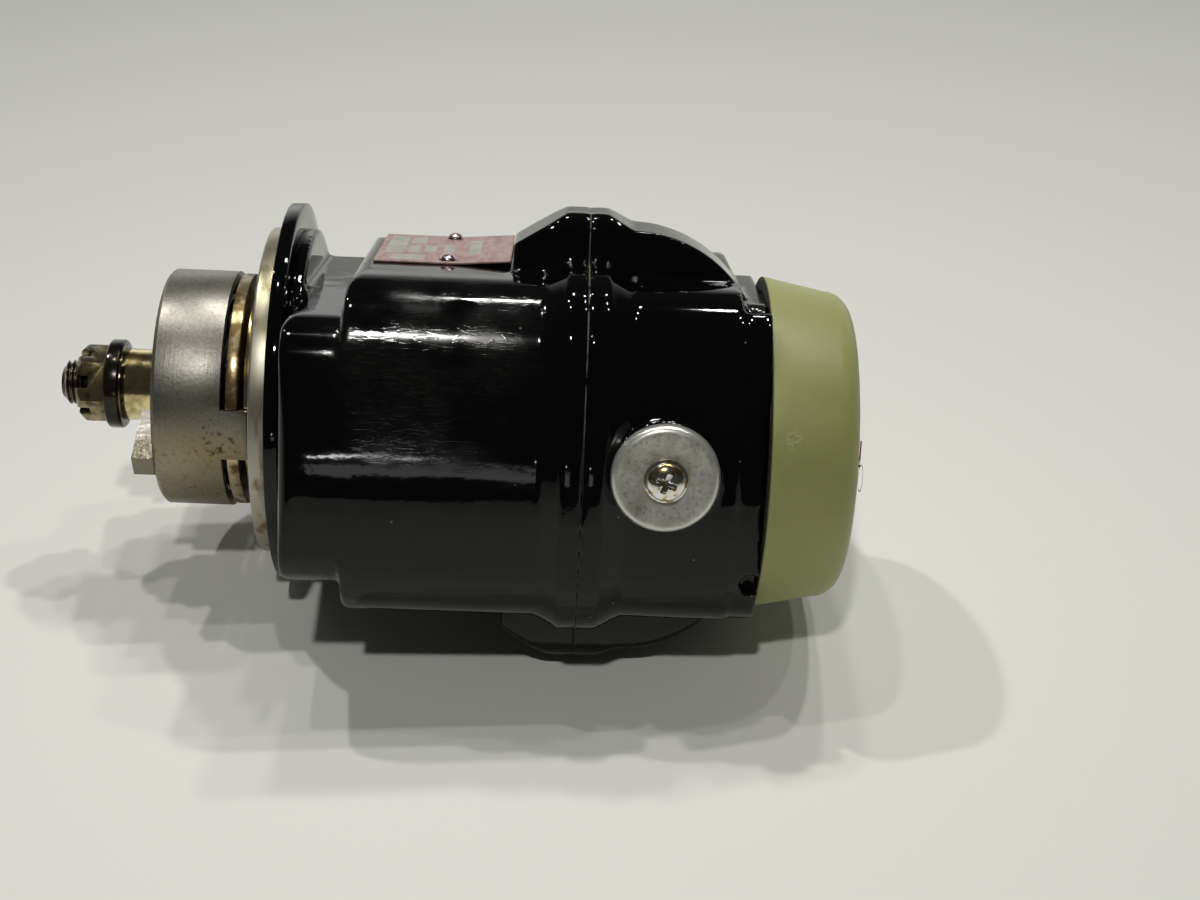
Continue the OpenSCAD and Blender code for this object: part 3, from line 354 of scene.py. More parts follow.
soil = maths(tree, "ADD", times(tree, haze, 0.016), times(tree, hairs, 0.03))
soil = maths(tree, "MAXIMUM", times(tree, dust, 0.35), soil)
colour = mixed(tree, soil, (0.0014, 0.0016, 0.0017), (0.32, 0.31, 0.28))
colour = mixed(tree, chips, colour, (0.17, 0.16, 0.13))
tree.links.new(colour, shader.inputs["Base Color"])
gloss = ranged(tree, patchy(tree, place, 45.0, 0.3, 0.7), 0.0, 1.0, 0.02, 0.05)
gloss = maths(tree, "ADD", gloss, times(tree, haze, 0.25))
gloss = maths(tree, "ADD", gloss, times(tree, chips, 0.35))
tree.links.new(gloss, shader.inputs["Roughness"])
sag, peel = noise(tree, place, 95.0, 1.5), noise(tree, place, 620.0)
under = bumped(tree, shader, sag, 0.07 * MM)
under = bumped(tree, shader, peel, 0.006 * MM, under)
under = bumped(tree, shader, hairs, 0.012 * MM, under)
bumped(tree, shader, dust, 0.05 * MM, under)


def drawn(name, profile):
    """Draws a closed profile of (x, radius) corners, and stays in edit mode."""
    bpy.ops.object.select_all(action="DESELECT")
    bpy.ops.mesh.primitive_plane_add(size=MM)
    piece = bpy.context.object
    piece.name = piece.data.name = name
    bpy.ops.object.mode_set(mode="EDIT")
    bpy.ops.mesh.select_all(action="SELECT")
    bpy.ops.mesh.merge(type="CENTER")
    bpy.ops.transform.translate(value=(profile[0][0], 0, profile[0][1]))
    for (x0, r0), (x1, r1) in zip(profile, profile[1:] + profile[:1]):
        bpy.ops.mesh.extrude_vertices_move(TRANSFORM_OT_translate={"value": (x1 - x0, 0, r1 - r0)})
    bpy.ops.mesh.select_all(action="SELECT")
    bpy.ops.mesh.remove_doubles(threshold=1e-7)
    return piece


def lathed(name, profile, steps=128, place=None):
    """Spins a closed profile about X and sets it in place."""
    piece = drawn(name, profile)
    bpy.ops.mesh.select_all(action="SELECT")
    bpy.ops.mesh.spin(steps=steps, angle=2 * pi, center=(0, 0, 0), axis=(1, 0, 0))
    bpy.ops.mesh.select_all(action="SELECT")
    bpy.ops.mesh.remove_doubles(threshold=1e-7)
    bpy.ops.mesh.normals_make_consistent(inside=False)
    bpy.ops.object.mode_set(mode="OBJECT")
    if place:
        piece.matrix_world = place
        bpy.ops.object.transform_apply()
    return piece


def eased(piece, width, segments=3, sharp=32):
    """Rounds a piece's sharp edges and shades the rest smooth."""
    worked(piece, "BEVEL", width=width, segments=segments, limit_method="ANGLE",
           angle_limit=radians(sharp), use_clamp_overlap=True)
    bpy.ops.object.shade_smooth_by_angle(angle=radians(sharp))


drive_skin = copied("drive_housing", "drive_housing_skin")
rim_t, rim_out, rim_in, rim_steps = 3.0 * MM, 40.35 * MM, 34.2 * MM, 192
stub_r, clear_r, clear_x = rim_in + 0.4 * MM, 45 * MM, -1 * MM
carved(drive_skin, lathed("rim_cut", [(clear_x, stub_r), (clear_x, clear_r), (rim_t, clear_r),
                                      (rim_t, stub_r)], rim_steps))
flat_z, flat_from, flat_to = 26.5 * MM, 5.8 * MM, 17.4 * MM
neck_r, neck_past, flat_fillet, slot_tall = 33.4 * MM, 3 * MM, 4.6 * MM, 12 * MM
flat_mid, flat_l = (flat_from + flat_to) / 2, flat_to - flat_from
for side in (1, -1):
    bpy.ops.object.select_all(action="DESELECT")
    bpy.ops.mesh.primitive_cube_add(size=1)
    slot_cut = bpy.context.object
    slot_cut.scale = (flat_l, 2 * neck_r, slot_tall)
    slot_cut.location = (flat_mid, 0, side * (flat_z + slot_tall / 2))
    bpy.ops.object.transform_apply()
    bpy.ops.object.mode_set(mode="EDIT")
    bpy.ops.mesh.select_all(action="DESELECT")
    for edge in (block := bmesh.from_edit_mesh(slot_cut.data)).edges:
        edge.select = all(v.co.x < flat_from + MM and abs(v.co.z) < flat_z + MM
                          for v in edge.verts)
    block.select_flush(True)
    bpy.ops.mesh.bevel(offset=flat_fillet, segments=8)
    bpy.ops.object.mode_set(mode="OBJECT")
    carved(drive_skin, slot_cut)
bpy.ops.object.select_all(action="DESELECT")
bpy.ops.mesh.primitive_cylinder_add(vertices=128, radius=neck_r, depth=flat_l + neck_past,
                                    rotation=(0, pi / 2, 0), location=(flat_mid, 0, 0))
neck = bpy.context.object
bpy.ops.object.transform_apply()
cut_away(neck, (0, 0, flat_z), (0, 0, 1))
cut_away(neck, (0, 0, -flat_z), (0, 0, -1))
neck.select_set(True)
drive_skin.select_set(True)
bpy.context.view_layer.objects.active = drive_skin
bpy.ops.object.join()
paint_voxel, front_lap = 0.5 * MM, 0.3 * MM
tier_from, tier_to = rim_t + 0.3 * MM, 12 * MM
softened(drive_skin, paint_voxel, 0.42, (7, tier_from, parting_x - parting_crisp),
         (6, tier_from, tier_to))
cut_away(drive_skin, (front_lap, 0, 0), (-1, 0, 0))
dressed(drive_skin, black_paint, "housing", "drive_housing", slot="black_paint")

# The flange is the casting's own front disc, which the mounting clamps press on. It is
# turned, so under the same paint its rim is flat, with narrow broken edges.
flange_rim = lathed("flange_rim", [(0, rim_in), (0, rim_out), (rim_t, rim_out), (rim_t, rim_in)],
                    rim_steps)
eased(flange_rim, 0.32 * MM)
dressed(flange_rim, black_paint, "housing", "drive_housing", slot="black_paint")

# The pilot is the casting's front rim, turned bright after painting so that it fits the
# engine's bore. Its bare metal is cream coloured and stained with old oil.
pilot_x, pilot_back, pilot_d, recess_d = -3.9 * MM, 0.4 * MM, 69.85 * MM, 60 * MM
pilot = lathed("pilot_rim", [(pilot_x, recess_d / 2), (pilot_x, pilot_d / 2),
                             (pilot_back, pilot_d / 2), (pilot_back, recess_d / 2)], rim_steps)
eased(pilot, 0.5 * MM)
bare_metal, tree, shader, place = new_material("turned_pilot", metallic=0.85)
stain = patchy(tree, place, 55.0, 0.42, 0.62)
oily = times(tree, stain, ranged(tree, axes(tree, place)["Z"], -25 * MM, 25 * MM, 0.25, 1.0))
drips = patchy(tree, stretched(tree, place, (1, 1, 0.25)), 150.0, 0.56, 0.64)
colour = mixed(tree, oily, (0.40, 0.39, 0.33), (0.29, 0.25, 0.11))
colour = mixed(tree, times(tree, drips, 0.8), colour, (0.14, 0.075, 0.025))
tree.links.new(colour, shader.inputs["Base Color"])
tree.links.new(ranged(tree, oily, 0.0, 1.0, 0.42, 0.22), shader.inputs["Roughness"])
turning = noise(tree, stretched(tree, place, (1, 0.02, 0.02)), 3800.0)
bumped(tree, shader, turning, 0.012 * MM)
dressed(pilot, bare_metal, "housing", "drive_housing", slot="aluminium")

# The distributor housing is the second casting, pinned and screwed to the first along the
# parting band, and painted the same. Its rim is stepped in and pocketed for the screw heads.
dist_skin = copied("distributor_housing", "distributor_housing_skin")
past_end = 1.0
softened(dist_skin, paint_voxel, 0.5, (9, parting_x + parting_crisp, past_end))
dressed(dist_skin, black_paint, "housing", "distributor_housing", slot="black_paint")


# Slotted screws and two dowel pins hold the halves together. The pins are dull plated steel.
# The screws are painted over with the housing, and only their heads show, down in their pockets.
def metal_finish(name, clean, soiled, soil_at=(0.45, 0.7), soil_scale=90.0, rough=(0.25, 0.45),
                 grain_scale=900.0, grain_depth=0.01, metallic=1.0):
    """Metal with a soiled colour in patches, uneven gloss and a fine grain."""
    material, tree, shader, place = new_material(name, metallic=metallic)
    soil = patchy(tree, place, soil_scale, *soil_at)
    tree.links.new(mixed(tree, soil, clean, soiled), shader.inputs["Base Color"])
    tree.links.new(ranged(tree, soil, 0.0, 1.0, *rough), shader.inputs["Roughness"])
    bumped(tree, shader, noise(tree, place, grain_scale, 3.0), grain_depth * MM)
    return material, tree, shader, place


def smoothed_copy(node, width, segments=2):
    """A copy of a solid with flat faces made whole and its edges broken."""
    piece = copied(node, node + "_worked")
    bpy.ops.object.mode_set(mode="EDIT")
    bpy.ops.mesh.select_all(action="SELECT")
    bpy.ops.mesh.dissolve_limited(angle_limit=radians(0.6))
    bpy.ops.object.mode_set(mode="OBJECT")
    eased(piece, width, segments)
    return piece


def repainted(material, *nodes):
    """Gives solids that keep their own shape a finish."""
    for node in nodes:
        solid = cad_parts[node]
        solid.data.materials.clear()
        solid.data.materials.append(material)


dull_plate = metal_finish("dull_plated_steel", (0.34, 0.33, 0.29), (0.13, 0.11, 0.08))[0]
painted_over = metal_finish("painted_screw_steel", (0.012, 0.012, 0.012), (0.03, 0.028, 0.025),
                            rough=(0.12, 0.3), metallic=0.2)[0]
dressed(smoothed_copy("housing_screws", 0.2 * MM), painted_over, "housing", "housing_screws",
        slot="steel")
repainted(dull_plate, "dowel_pins", "bar_screws", "block_screws", "cam_screw")

# The data plate is a thin printed tin sheet with blank fields. Two rivets hold its middle,
# and its right half has sprung up off the housing.
plate_x, plate_far, plate_l, plate_w, plate_t = 20.4 * MM, 4 * MM, 27.2 * MM, 35 * MM, 0.5 * MM
plate_top, plate_bend, plate_lift = 33.8 * MM, 37 * MM, radians(4.5)
fields = [(0.05, 0.19, 0.30, 0.94), (0.22, 0.33, 0.66, 0.94), (0.11, 0.36, 0.07, 0.24),
          (0.22, 0.30, 0.32, 0.58), (0.34, 0.43, 0.36, 0.58), (0.48, 0.56, 0.34, 0.62),
          (0.67, 0.76, 0.28, 0.82)]
border_x, border_y, bend_x = {0.02, 0.98}, {0.025, 0.975}, {0.58, 0.64, 0.72, 0.9}
bpy.ops.object.select_all(action="DESELECT")
bpy.ops.mesh.primitive_plane_add(size=1)
plate = bpy.context.object
plate.name = plate.data.name = "data_plate_sheet"
plate.scale = (plate_l, plate_w, 1)
plate.location = (plate_x + plate_l / 2, plate_far - plate_w / 2, plate_top + plate_t)
bpy.ops.object.transform_apply()
bpy.ops.object.mode_set(mode="EDIT")
for u in sorted({u for f in fields for u in f[:2]} | border_x | bend_x):
    bpy.ops.mesh.select_all(action="SELECT")
    bpy.ops.mesh.bisect(plane_co=(plate_x + u * plate_l, 0, 0), plane_no=(1, 0, 0))
for w in sorted({w for f in fields for w in f[2:]} | border_y):
    bpy.ops.mesh.select_all(action="SELECT")
    bpy.ops.mesh.bisect(plane_co=(0, plate_far - plate_w + w * plate_w, 0), plane_no=(0, 1, 0))
for face in (sheet := bmesh.from_edit_mesh(plate.data)).faces:
    middle = face.calc_center_median()
    u = (middle.x - plate_x) / plate_l
    w = (middle.y - plate_far + plate_w) / plate_w
    face.material_index = int(any(f[0] < u < f[1] and f[2] < w < f[3] for f in fields))
bend_steps, bend_gap = 4, 0.8 * MM
for step in range(bend_steps):
    hinge = plate_bend + (step - (bend_steps - 1) / 2) * bend_gap
    bpy.ops.mesh.select_all(action="DESELECT")
    for vert in (sheet := bmesh.from_edit_mesh(plate.data)).verts:
        vert.select = vert.co.x > hinge
    sheet.select_flush(True)
    bpy.ops.transform.rotate(value=plate_lift / bend_steps, orient_axis="Y",
                             center_override=(hinge, 0, plate_top + plate_t))
bpy.ops.object.mode_set(mode="OBJECT")
worked(plate, "SOLIDIFY", thickness=plate_t - 0.05 * MM, offset=-1)
eased(plate, 0.08 * MM, 1, 50)
plate_print, tree, shader, place = new_material("plate_print", roughness=0.44,
                                                specular_ior_level=0.3)
fade = patchy(tree, place, 190.0, 0.35, 0.7)
rows = put(tree, "ShaderNodeTexWave", {"Vector": place, "Scale": 190.0, "Distortion": 0.0},
           bands_direction="Y").outputs[0]
gaps = noise(tree, stretched(tree, place, (1, 0.2, 1)), 900.0)
print_on = times(tree, ranged(tree, rows, 0.45, 0.6, 0.0, 1.0),
                 ranged(tree, gaps, 0.42, 0.55, 0.0, 1.0))
colour = mixed(tree, fade, (0.25, 0.13, 0.115), (0.32, 0.20, 0.178))
colour = mixed(tree, times(tree, print_on, 0.6), colour, (0.44, 0.385, 0.35))
tree.links.new(colour, shader.inputs["Base Color"])
plate_field, tree, shader, place = new_material("plate_field", metallic=0.35)
fade = patchy(tree, place, 300.0, 0.35, 0.7)
colour = mixed(tree, fade, (0.38, 0.37, 0.325), (0.31, 0.30, 0.26))
tree.links.new(colour, shader.inputs["Base Color"])
tree.links.new(ranged(tree, fade, 0.0, 1.0, 0.38, 0.54), shader.inputs["Roughness"])
dressed(plate, plate_print, "housing", "data_plate", slot="plate_print")
plate.data.materials.append(plate_field)


# Two dome-headed rivets pin the plate down. They are soft bright metal, and their pinkish
# colour is a painted reflection of the plate's red.
def quarter(x, r, rise, wide, steps):
    """A quarter of an ellipse about (x, r), from its top to its widest."""
    return [(x + rise * cos(a * pi / 2 / steps), r + wide * sin(a * pi / 2 / steps))
            for a in range(steps + 1)]


rivet_at = [(35 * MM, 1 * MM), (35 * MM, -28 * MM)]
rivet_r, rivet_rise, rivet_shank, rivet_low = 1.8 * MM, 1.3 * MM, 0.9 * MM, 30.3 * MM
dome = quarter(plate_top + plate_t, 0, rivet_rise, rivet_r, 8)
# Painted reflection: the rivets' pinkish colour stands in for the red plate mirrored in them.
rivet_painted_red_reflection = metal_finish("rivet_painted_red_reflection", (0.60, 0.47, 0.48), (0.42, 0.28, 0.31),
                           rough=(0.16, 0.3))[0]
rivet = lathed("plate_rivet_far", dome + [(plate_top + plate_t, rivet_shank),
                                          (rivet_low, rivet_shank), (rivet_low, 0)],
               40, Matrix.Translation((*rivet_at[0], 0)) @ Matrix.Rotation(-pi / 2, 4, "Y"))
bpy.ops.object.shade_smooth_by_angle(angle=radians(40))
near_rivet = rivet.copy()
near_rivet.name, near_rivet.data = "plate_rivet_near", rivet.data.copy()
bpy.context.collection.objects.link(near_rivet)
only(near_rivet)
bpy.ops.transform.translate(value=(0, rivet_at[1][1] - rivet_at[0][1], 0))
bpy.ops.object.transform_apply()
dressed(rivet, rivet_painted_red_reflection, "housing", "plate_rivets", slot="steel")
dressed(near_rivet, rivet_painted_red_reflection, "housing", "plate_rivets", slot="steel")

# The condenser is a drawn aluminium can pushed into the side of the distributor housing. Its
# dull face has a bright rounded rim, and carries the ground terminal in its centre.
cond_at = Vector((78.6, -60.3, 0)) * MM
on_side = Matrix.Translation(cond_at) @ Matrix.Rotation(-pi / 2, 4, "Z")
cond_r, cond_t, can_r, can_depth = 10.4 * MM, 2.8 * MM, 8.8 * MM, 9 * MM
can_round, can_foot = 1.5 * MM, 0.4 * MM
can_rim = quarter(cond_t - can_round, cond_r - can_round, can_round, can_round, 6)[::-1]
can = lathed("condenser_face", [(-can_depth, 0), (-can_depth, can_r), (0, can_r),
                                (0, cond_r - can_foot), (can_foot, cond_r)] + can_rim
             + [(cond_t, cond_r - 1.9 * MM), (cond_t - 0.12 * MM, cond_r - 2.3 * MM),
                (cond_t - 0.1 * MM, 0)], 128, on_side)
bpy.ops.object.shade_smooth_by_angle(angle=radians(35))
drawn_can, tree, shader, place = metal_finish(
    "drawn_aluminium", (0.56, 0.56, 0.52), (0.40, 0.395, 0.355), (0.4, 0.65), 260.0,
    grain_scale=1500.0, grain_depth=0.02, metallic=0.75)
centred = put(tree, "ShaderNodeVectorMath", {0: place, 1: cond_at},
              operation="DISTANCE").outputs["Value"]
on_rim = ranged(tree, centred, 9.5 * MM, 10.1 * MM, 0.0, 1.0)
flecks = patchy(tree, place, 1500.0, 0.5, 0.68)
oil_ring = times(tree, ranged(tree, centred, 4.6 * MM, 6.0 * MM, 1.0, 0.0),
                 patchy(tree, place, 200.0, 0.4, 0.55))
colour = shader.inputs["Base Color"].links[0].from_socket
colour = mixed(tree, times(tree, flecks, 0.5), colour, (0.16, 0.16, 0.145))
colour = mixed(tree, oil_ring, colour, (0.22, 0.17, 0.07))
colour = mixed(tree, on_rim, colour, (0.66, 0.66, 0.63))
tree.links.new(colour, shader.inputs["Base Color"])
tree.links.new(ranged(tree, on_rim, 0.0, 1.0, 0.46, 0.3), shader.inputs["Roughness"])
dressed(can, drawn_can, "housing", "condenser_can", slot="aluminium")

# The terminal is a plated pan-head screw with a cross recess, over a plain washer, both wet
# with amber oil.
washer_r, washer_h, washer_lap, bore_r = 4.2 * MM, 0.6 * MM, 0.1 * MM, 2.05 * MM
term_washer = lathed("terminal_washer_ring", [
    (cond_t - washer_lap, bore_r), (cond_t - washer_lap, washer_r),
    (cond_t + washer_h, washer_r), (cond_t + washer_h, bore_r)], 64, on_side)
eased(term_washer, 0.12 * MM, 2)
oily_plate = metal_finish("oily_bright_plate", (0.78, 0.77, 0.72), (0.40, 0.29, 0.10),
                          (0.5, 0.62), 700.0, (0.12, 0.2), 1200.0, 0.006)[0]
dressed(term_washer, oily_plate, "housing", "terminal_washer", slot="steel")
head_x, head_r, head_h, head_side = cond_t + washer_h, 3.7 * MM, 2.2 * MM, 0.7 * MM
shank_r, shank_end = 2 * MM, -2 * MM
crown = quarter(head_x + head_side, 0, head_h - head_side, head_r, 8)
term_screw = lathed("terminal_screw_head", crown + [
    (head_x, head_r), (head_x, shank_r), (shank_end, shank_r), (shank_end, 0)], 72, on_side)
cross_l, cross_w, cross_deep = 4.0 * MM, 1.15 * MM, 1.5 * MM
for turned_by in (20, 110):
    bpy.ops.object.select_all(action="DESELECT")
    bpy.ops.mesh.primitive_cube_add(size=1)
    blade = bpy.context.object
    blade.matrix_world = (Matrix.Translation(cond_at + Vector((0, -(head_x + head_h), 0)))
                          @ Matrix.Rotation(radians(turned_by), 4, "Y")
                          @ Matrix.Diagonal((cross_l, 2 * cross_deep, cross_w, 1)))
    bpy.ops.object.transform_apply()
    worked(blade, "BEVEL", width=0.25 * MM, segments=2)
    carved(term_screw, blade)
eased(term_screw, 0.12 * MM, 2, 40)
dressed(term_screw, oily_plate, "housing", "terminal_screw", slot="bright_plate")

# The protective cap is a moulded shipping cap pushed over the outlet block. It is waxy
# yellow-green plastic that lets some light through, with a few nicks; its mouth has painted shade.
cap_y, cap_mouth, cap_end = -30 * MM, 98 * MM, 115.6 * MM
cap_r0, cap_r1, cap_round, cap_wall = 33.5 * MM, 30.95 * MM, 5 * MM, 1.8 * MM
mouth_r, mouth_deep, inner_round = 30.4 * MM, 5.6 * MM, cap_round - cap_wall
outer = quarter(cap_end - cap_round, cap_r1 - cap_round, cap_round, cap_round, 10)[::-1]
inner = quarter(cap_end - cap_round, cap_r1 - cap_round, inner_round, inner_round, 10)
cap = lathed("protective_cap_shell", [(cap_mouth, mouth_r), (cap_mouth, cap_r0)] + outer
             + [(cap_end, 0), (cap_end - cap_wall, 0)] + inner
             + [(cap_mouth + mouth_deep, mouth_r)], 192, Matrix.Translation((0, cap_y, 0)))
eased(cap, 0.35 * MM, 2)
waxy, tree, shader, place = new_material(
    "waxy_cap_plastic", subsurface_weight=0.55, subsurface_scale=0.004,
    subsurface_radius=(1.0, 1.0, 0.5), specular_ior_level=0.4)
flow = patchy(tree, place, 26.0, 0.35, 0.68)
cloudy = patchy(tree, place, 130.0, 0.35, 0.75)
nicked = near_point(tree, place, Vector((102, -60.5, 8)) * MM, 3.2 * MM)
nicks = times(tree, use(tree, scratches, place=place, scale=420.0, width=0.05), nicked)
flecks = times(tree, use(tree, specks, place=place, scale=170.0, size=0.05, share=0.2), 0.5)
# Painted shade: the cap's mouth edge is darkened to near black.
mouth_shade = ranged(tree, axes(tree, place)["X"], cap_mouth + 0.12 * MM, cap_mouth + 0.4 * MM, 0.95, 0.0)
colour = mixed(tree, flow, (0.305, 0.318, 0.122), (0.255, 0.268, 0.088))
colour = mixed(tree, times(tree, cloudy, 0.35), colour, (0.34, 0.353, 0.15))
pale = maths(tree, "MAXIMUM", times(tree, nicks, 0.3), flecks)
colour = mixed(tree, pale, colour, (0.6, 0.6, 0.40))
colour = mixed(tree, mouth_shade, colour, (0.02, 0.02, 0.012))
tree.links.new(colour, shader.inputs["Base Color"])
tree.links.new(ranged(tree, cloudy, 0.0, 1.0, 0.42, 0.54), shader.inputs["Roughness"])
under = bumped(tree, shader, noise(tree, place, 340.0), 0.02 * MM)
bumped(tree, shader, nicks, 0.08 * MM, under)
dressed(cap, waxy, "housing", "protective_cap", slot="green_plastic")

# A bent wire end stands out at the near edge of the cap's end: a dark loop of thin wire, with
# a pale blob where it is twisted and a rust-red straight end above.
wire_r, loop_tall, loop_flat, wire_y = 0.14 * MM, 5.5 * MM, 0.17, -55.95 * MM
loop_x, tail_x, tail_top, tail_lap = 116.16 * MM, 115.78 * MM, 7.3 * MM, 0.6 * MM
tail_l, tail_mid = tail_top - loop_tall / 2 + tail_lap, (tail_top + loop_tall / 2 - tail_lap) / 2
bpy.ops.object.select_all(action="DESELECT")
bpy.ops.mesh.primitive_torus_add(
    major_segments=72, minor_segments=12, major_radius=loop_tall / 2 - wire_r,
    minor_radius=wire_r, rotation=(pi / 2, 0, 0), location=(loop_x, wire_y, 0))
wire = bpy.context.object
wire.name = wire.data.name = "cap_wire_loop"
bpy.ops.object.transform_apply()
bpy.ops.object.mode_set(mode="EDIT")
bpy.ops.mesh.select_all(action="SELECT")
bpy.ops.transform.resize(value=(loop_flat, 1, 1), center_override=(loop_x, wire_y, 0))
bpy.ops.mesh.primitive_cylinder_add(vertices=12, radius=wire_r, depth=tail_l,
                                    location=(tail_x, wire_y, tail_mid))
bpy.ops.mesh.primitive_uv_sphere_add(segments=16, ring_count=10, radius=wire_r,
                                     location=(tail_x, wire_y, 3 * MM))
bpy.ops.object.mode_set(mode="OBJECT")
bpy.ops.object.shade_smooth_by_angle(angle=radians(40))
wire_skin, tree, shader, place = new_material("rusty_wire", metallic=0.4, roughness=0.35)
up_wire = axes(tree, place)["Z"]
colour = mixed(tree, ranged(tree, up_wire, 3.2 * MM, 3.6 * MM, 0.0, 1.0),
               (0.75, 0.74, 0.7), (0.22, 0.035, 0.02))
colour = mixed(tree, ranged(tree, up_wire, 2.7 * MM, 2.5 * MM, 0.0, 1.0),
               colour, (0.012, 0.01, 0.009))
tree.links.new(colour, shader.inputs["Base Color"])
dressed(wire, wire_skin, "housing", "cap_wire", slot="steel")

# The rotor shaft carries the coupling on a taper and ends in a fine thread for the nut. The
# thread is cut steel, dark with oil in its roots.
dark_steel = metal_finish("oily_dark_steel", (0.20, 0.17, 0.12), (0.07, 0.055, 0.04),
                          (0.35, 0.6), 420.0, (0.2, 0.34), 1100.0, 0.012)[0]
thread_from, thread_to, thread_r, thread_pitch = -47.75 * MM, -41.3 * MM, 4.74 * MM, 1.058 * MM
root_share, root_cut, root_end = 0.85, -40.5 * MM, -40 * MM
shaft = copied("rotor_shaft", "rotor_shaft_turned")
bpy.ops.object.mode_set(mode="EDIT")
bpy.ops.mesh.select_all(action="SELECT")
bpy.ops.mesh.bisect(plane_co=(root_cut, 0, 0), plane_no=(1, 0, 0))
bpy.ops.mesh.select_all(action="DESELECT")
for vert in (bars := bmesh.from_edit_mesh(shaft.data)).verts:
    vert.select = vert.co.x < root_end
bars.select_flush(True)
bpy.ops.transform.resize(value=(1, root_share, root_share), center_override=(0, 0, 0))
bpy.ops.object.mode_set(mode="OBJECT")
bpy.ops.object.shade_smooth_by_angle(angle=radians(30))
dressed(shaft, dark_steel, "rotor", "rotor_shaft", slot="steel")
ridge_foot = root_share * thread_r - 0.1 * MM
thread = drawn("shaft_thread", [
    (thread_from, ridge_foot), (thread_from + 0.44 * thread_pitch, thread_r),
    (thread_from + 0.56 * thread_pitch, thread_r),
    (thread_from + 0.99 * thread_pitch, ridge_foot)])
bpy.ops.object.mode_set(mode="OBJECT")
turns = int((thread_to - thread_from) / thread_pitch)
worked(thread, "SCREW", axis="X", screw_offset=thread_pitch, iterations=turns, steps=48,
       render_steps=48)
bpy.ops.object.mode_set(mode="EDIT")
bpy.ops.mesh.select_all(action="SELECT")
bpy.ops.mesh.remove_doubles(threshold=1e-7)
bpy.ops.mesh.select_all(action="DESELECT")
bpy.ops.mesh.select_non_manifold()
bpy.ops.mesh.fill_holes(sides=6)
bpy.ops.mesh.select_all(action="SELECT")
bpy.ops.mesh.normals_make_consistent(inside=False)
bpy.ops.object.mode_set(mode="OBJECT")
bpy.ops.object.shade_smooth_by_angle(angle=radians(30))
dressed(thread, dark_steel, "rotor", slot="steel")

# The coupling hub is keyed to the shaft and carries the flyweights. It is steel with shiny
# gold plating, and its neck stands out through the shell.
gold_plate = metal_finish("gold_plating", (0.74, 0.63, 0.33), (0.26, 0.19, 0.07), (0.45, 0.62),
                          220.0, (0.1, 0.24), 700.0, 0.02)[0]
dressed(smoothed_copy("coupling_hub", 0.3 * MM), gold_plate, "rotor", "coupling_hub",
        slot="gold_plate")
repainted(dark_steel, "woodruff_key", "flyweight_pins")

# The washer under the nut is thick dark steel, wet with oil, and the castle nut is olive
# plated with grime in its slots.
oiled = metal_finish("oiled_washer", (0.035, 0.026, 0.017), (0.008, 0.0065, 0.005), (0.4, 0.6),
                     240.0, (0.1, 0.22), 900.0, 0.01, 0.7)[0]
ring_low, ring_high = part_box("drive_washer")
ring_r, hole_r, broken = ring_high[2], 4.9 * MM, 0.4 * MM
drive_ring = lathed("drive_washer_ring", [
    (ring_low[0], hole_r), (ring_low[0], ring_r - broken), (ring_low[0] + broken, ring_r),
    (ring_high[0] - broken, ring_r), (ring_high[0], ring_r - broken), (ring_high[0], hole_r)], 96)
eased(drive_ring, 0.12 * MM, 2)
dressed(drive_ring, oiled, "rotor", "drive_washer", slot="oiled_steel")
olive = metal_finish("olive_plating", (0.30, 0.25, 0.125), (0.055, 0.048, 0.024), (0.44, 0.6),
                     380.0, (0.16, 0.34), 900.0, 0.02, 0.9)[0]
dressed(smoothed_copy("castle_nut", 0.22 * MM), olive, "rotor", "castle_nut", slot="olive_plate")

# The coupling shell is a turned steel cup with two drive lugs. Its skin is satin grey above,
# stained yellow-brown and pitted below, and the lugs are worn bright.
shell_steel, tree, shader, place = new_material("satin_shell_steel")
split = axes(tree, place)
blotch = patchy(tree, place, 75.0, 0.3, 0.72)
low_down = ranged(tree, split["Z"], 3 * MM, -9 * MM, 0.0, 1.0)
stain = times(tree, low_down, ranged(tree, blotch, 0.0, 1.0, 0.5, 1.0))
pits = times(tree, patchy(tree, place, 900.0, 0.56, 0.68, 6.0),
             patchy(tree, place, 95.0, 0.45, 0.62))
pits = times(tree, pits, ranged(tree, split["Z"], 6 * MM, -6 * MM, 0.12, 0.9))
front_edge = ranged(tree, split["X"], -24.2 * MM, -25.0 * MM, 0.0, 1.0)
lug = ranged(tree, split["X"], -25.4 * MM, -25.7 * MM, 0.0, 1.0)
speckle = patchy(tree, place, 1700.0, 0.4, 0.66)
colour = mixed(tree, blotch, (0.31, 0.30, 0.262), (0.24, 0.23, 0.20))
colour = mixed(tree, times(tree, speckle, 0.45), colour, (0.13, 0.122, 0.10))
colour = mixed(tree, stain, colour, (0.25, 0.205, 0.095))
colour = mixed(tree, pits, colour, (0.05, 0.034, 0.017))
colour = mixed(tree, times(tree, front_edge, 0.6), colour, (0.07, 0.05, 0.032))
worn = mixed(tree, ranged(tree, split["Z"], -6.2 * MM, -8.2 * MM, 0.0, 1.0),
             (0.86, 0.84, 0.76), (0.22, 0.2, 0.135))
tree.links.new(mixed(tree, lug, colour, worn), shader.inputs["Base Color"])
tree.links.new(ranged(tree, lug, 0.0, 1.0, 0.95, 0.45), shader.inputs["Metallic"])
tree.links.new(ranged(tree, blotch, 0.0, 1.0, 0.32, 0.42), shader.inputs["Roughness"])
turned_skin = noise(tree, stretched(tree, place, (1, 0.04, 0.04)), 2600.0)
blast, hammer = noise(tree, place, 1300.0, 3.0), noise(tree, place, 520.0, 3.0)
under = bumped(tree, shader, turned_skin, 0.018 * MM)
under = bumped(tree, shader, blast, 0.03 * MM, under)
under = bumped(tree, shader, times(tree, pits, -1.0), 0.05 * MM, under)
bumped(tree, shader, times(tree, hammer, lug), 0.22 * MM, under)
dressed(smoothed_copy("coupling_shell", 0.35 * MM), shell_steel, "shell", "coupling_shell",
        slot="steel")

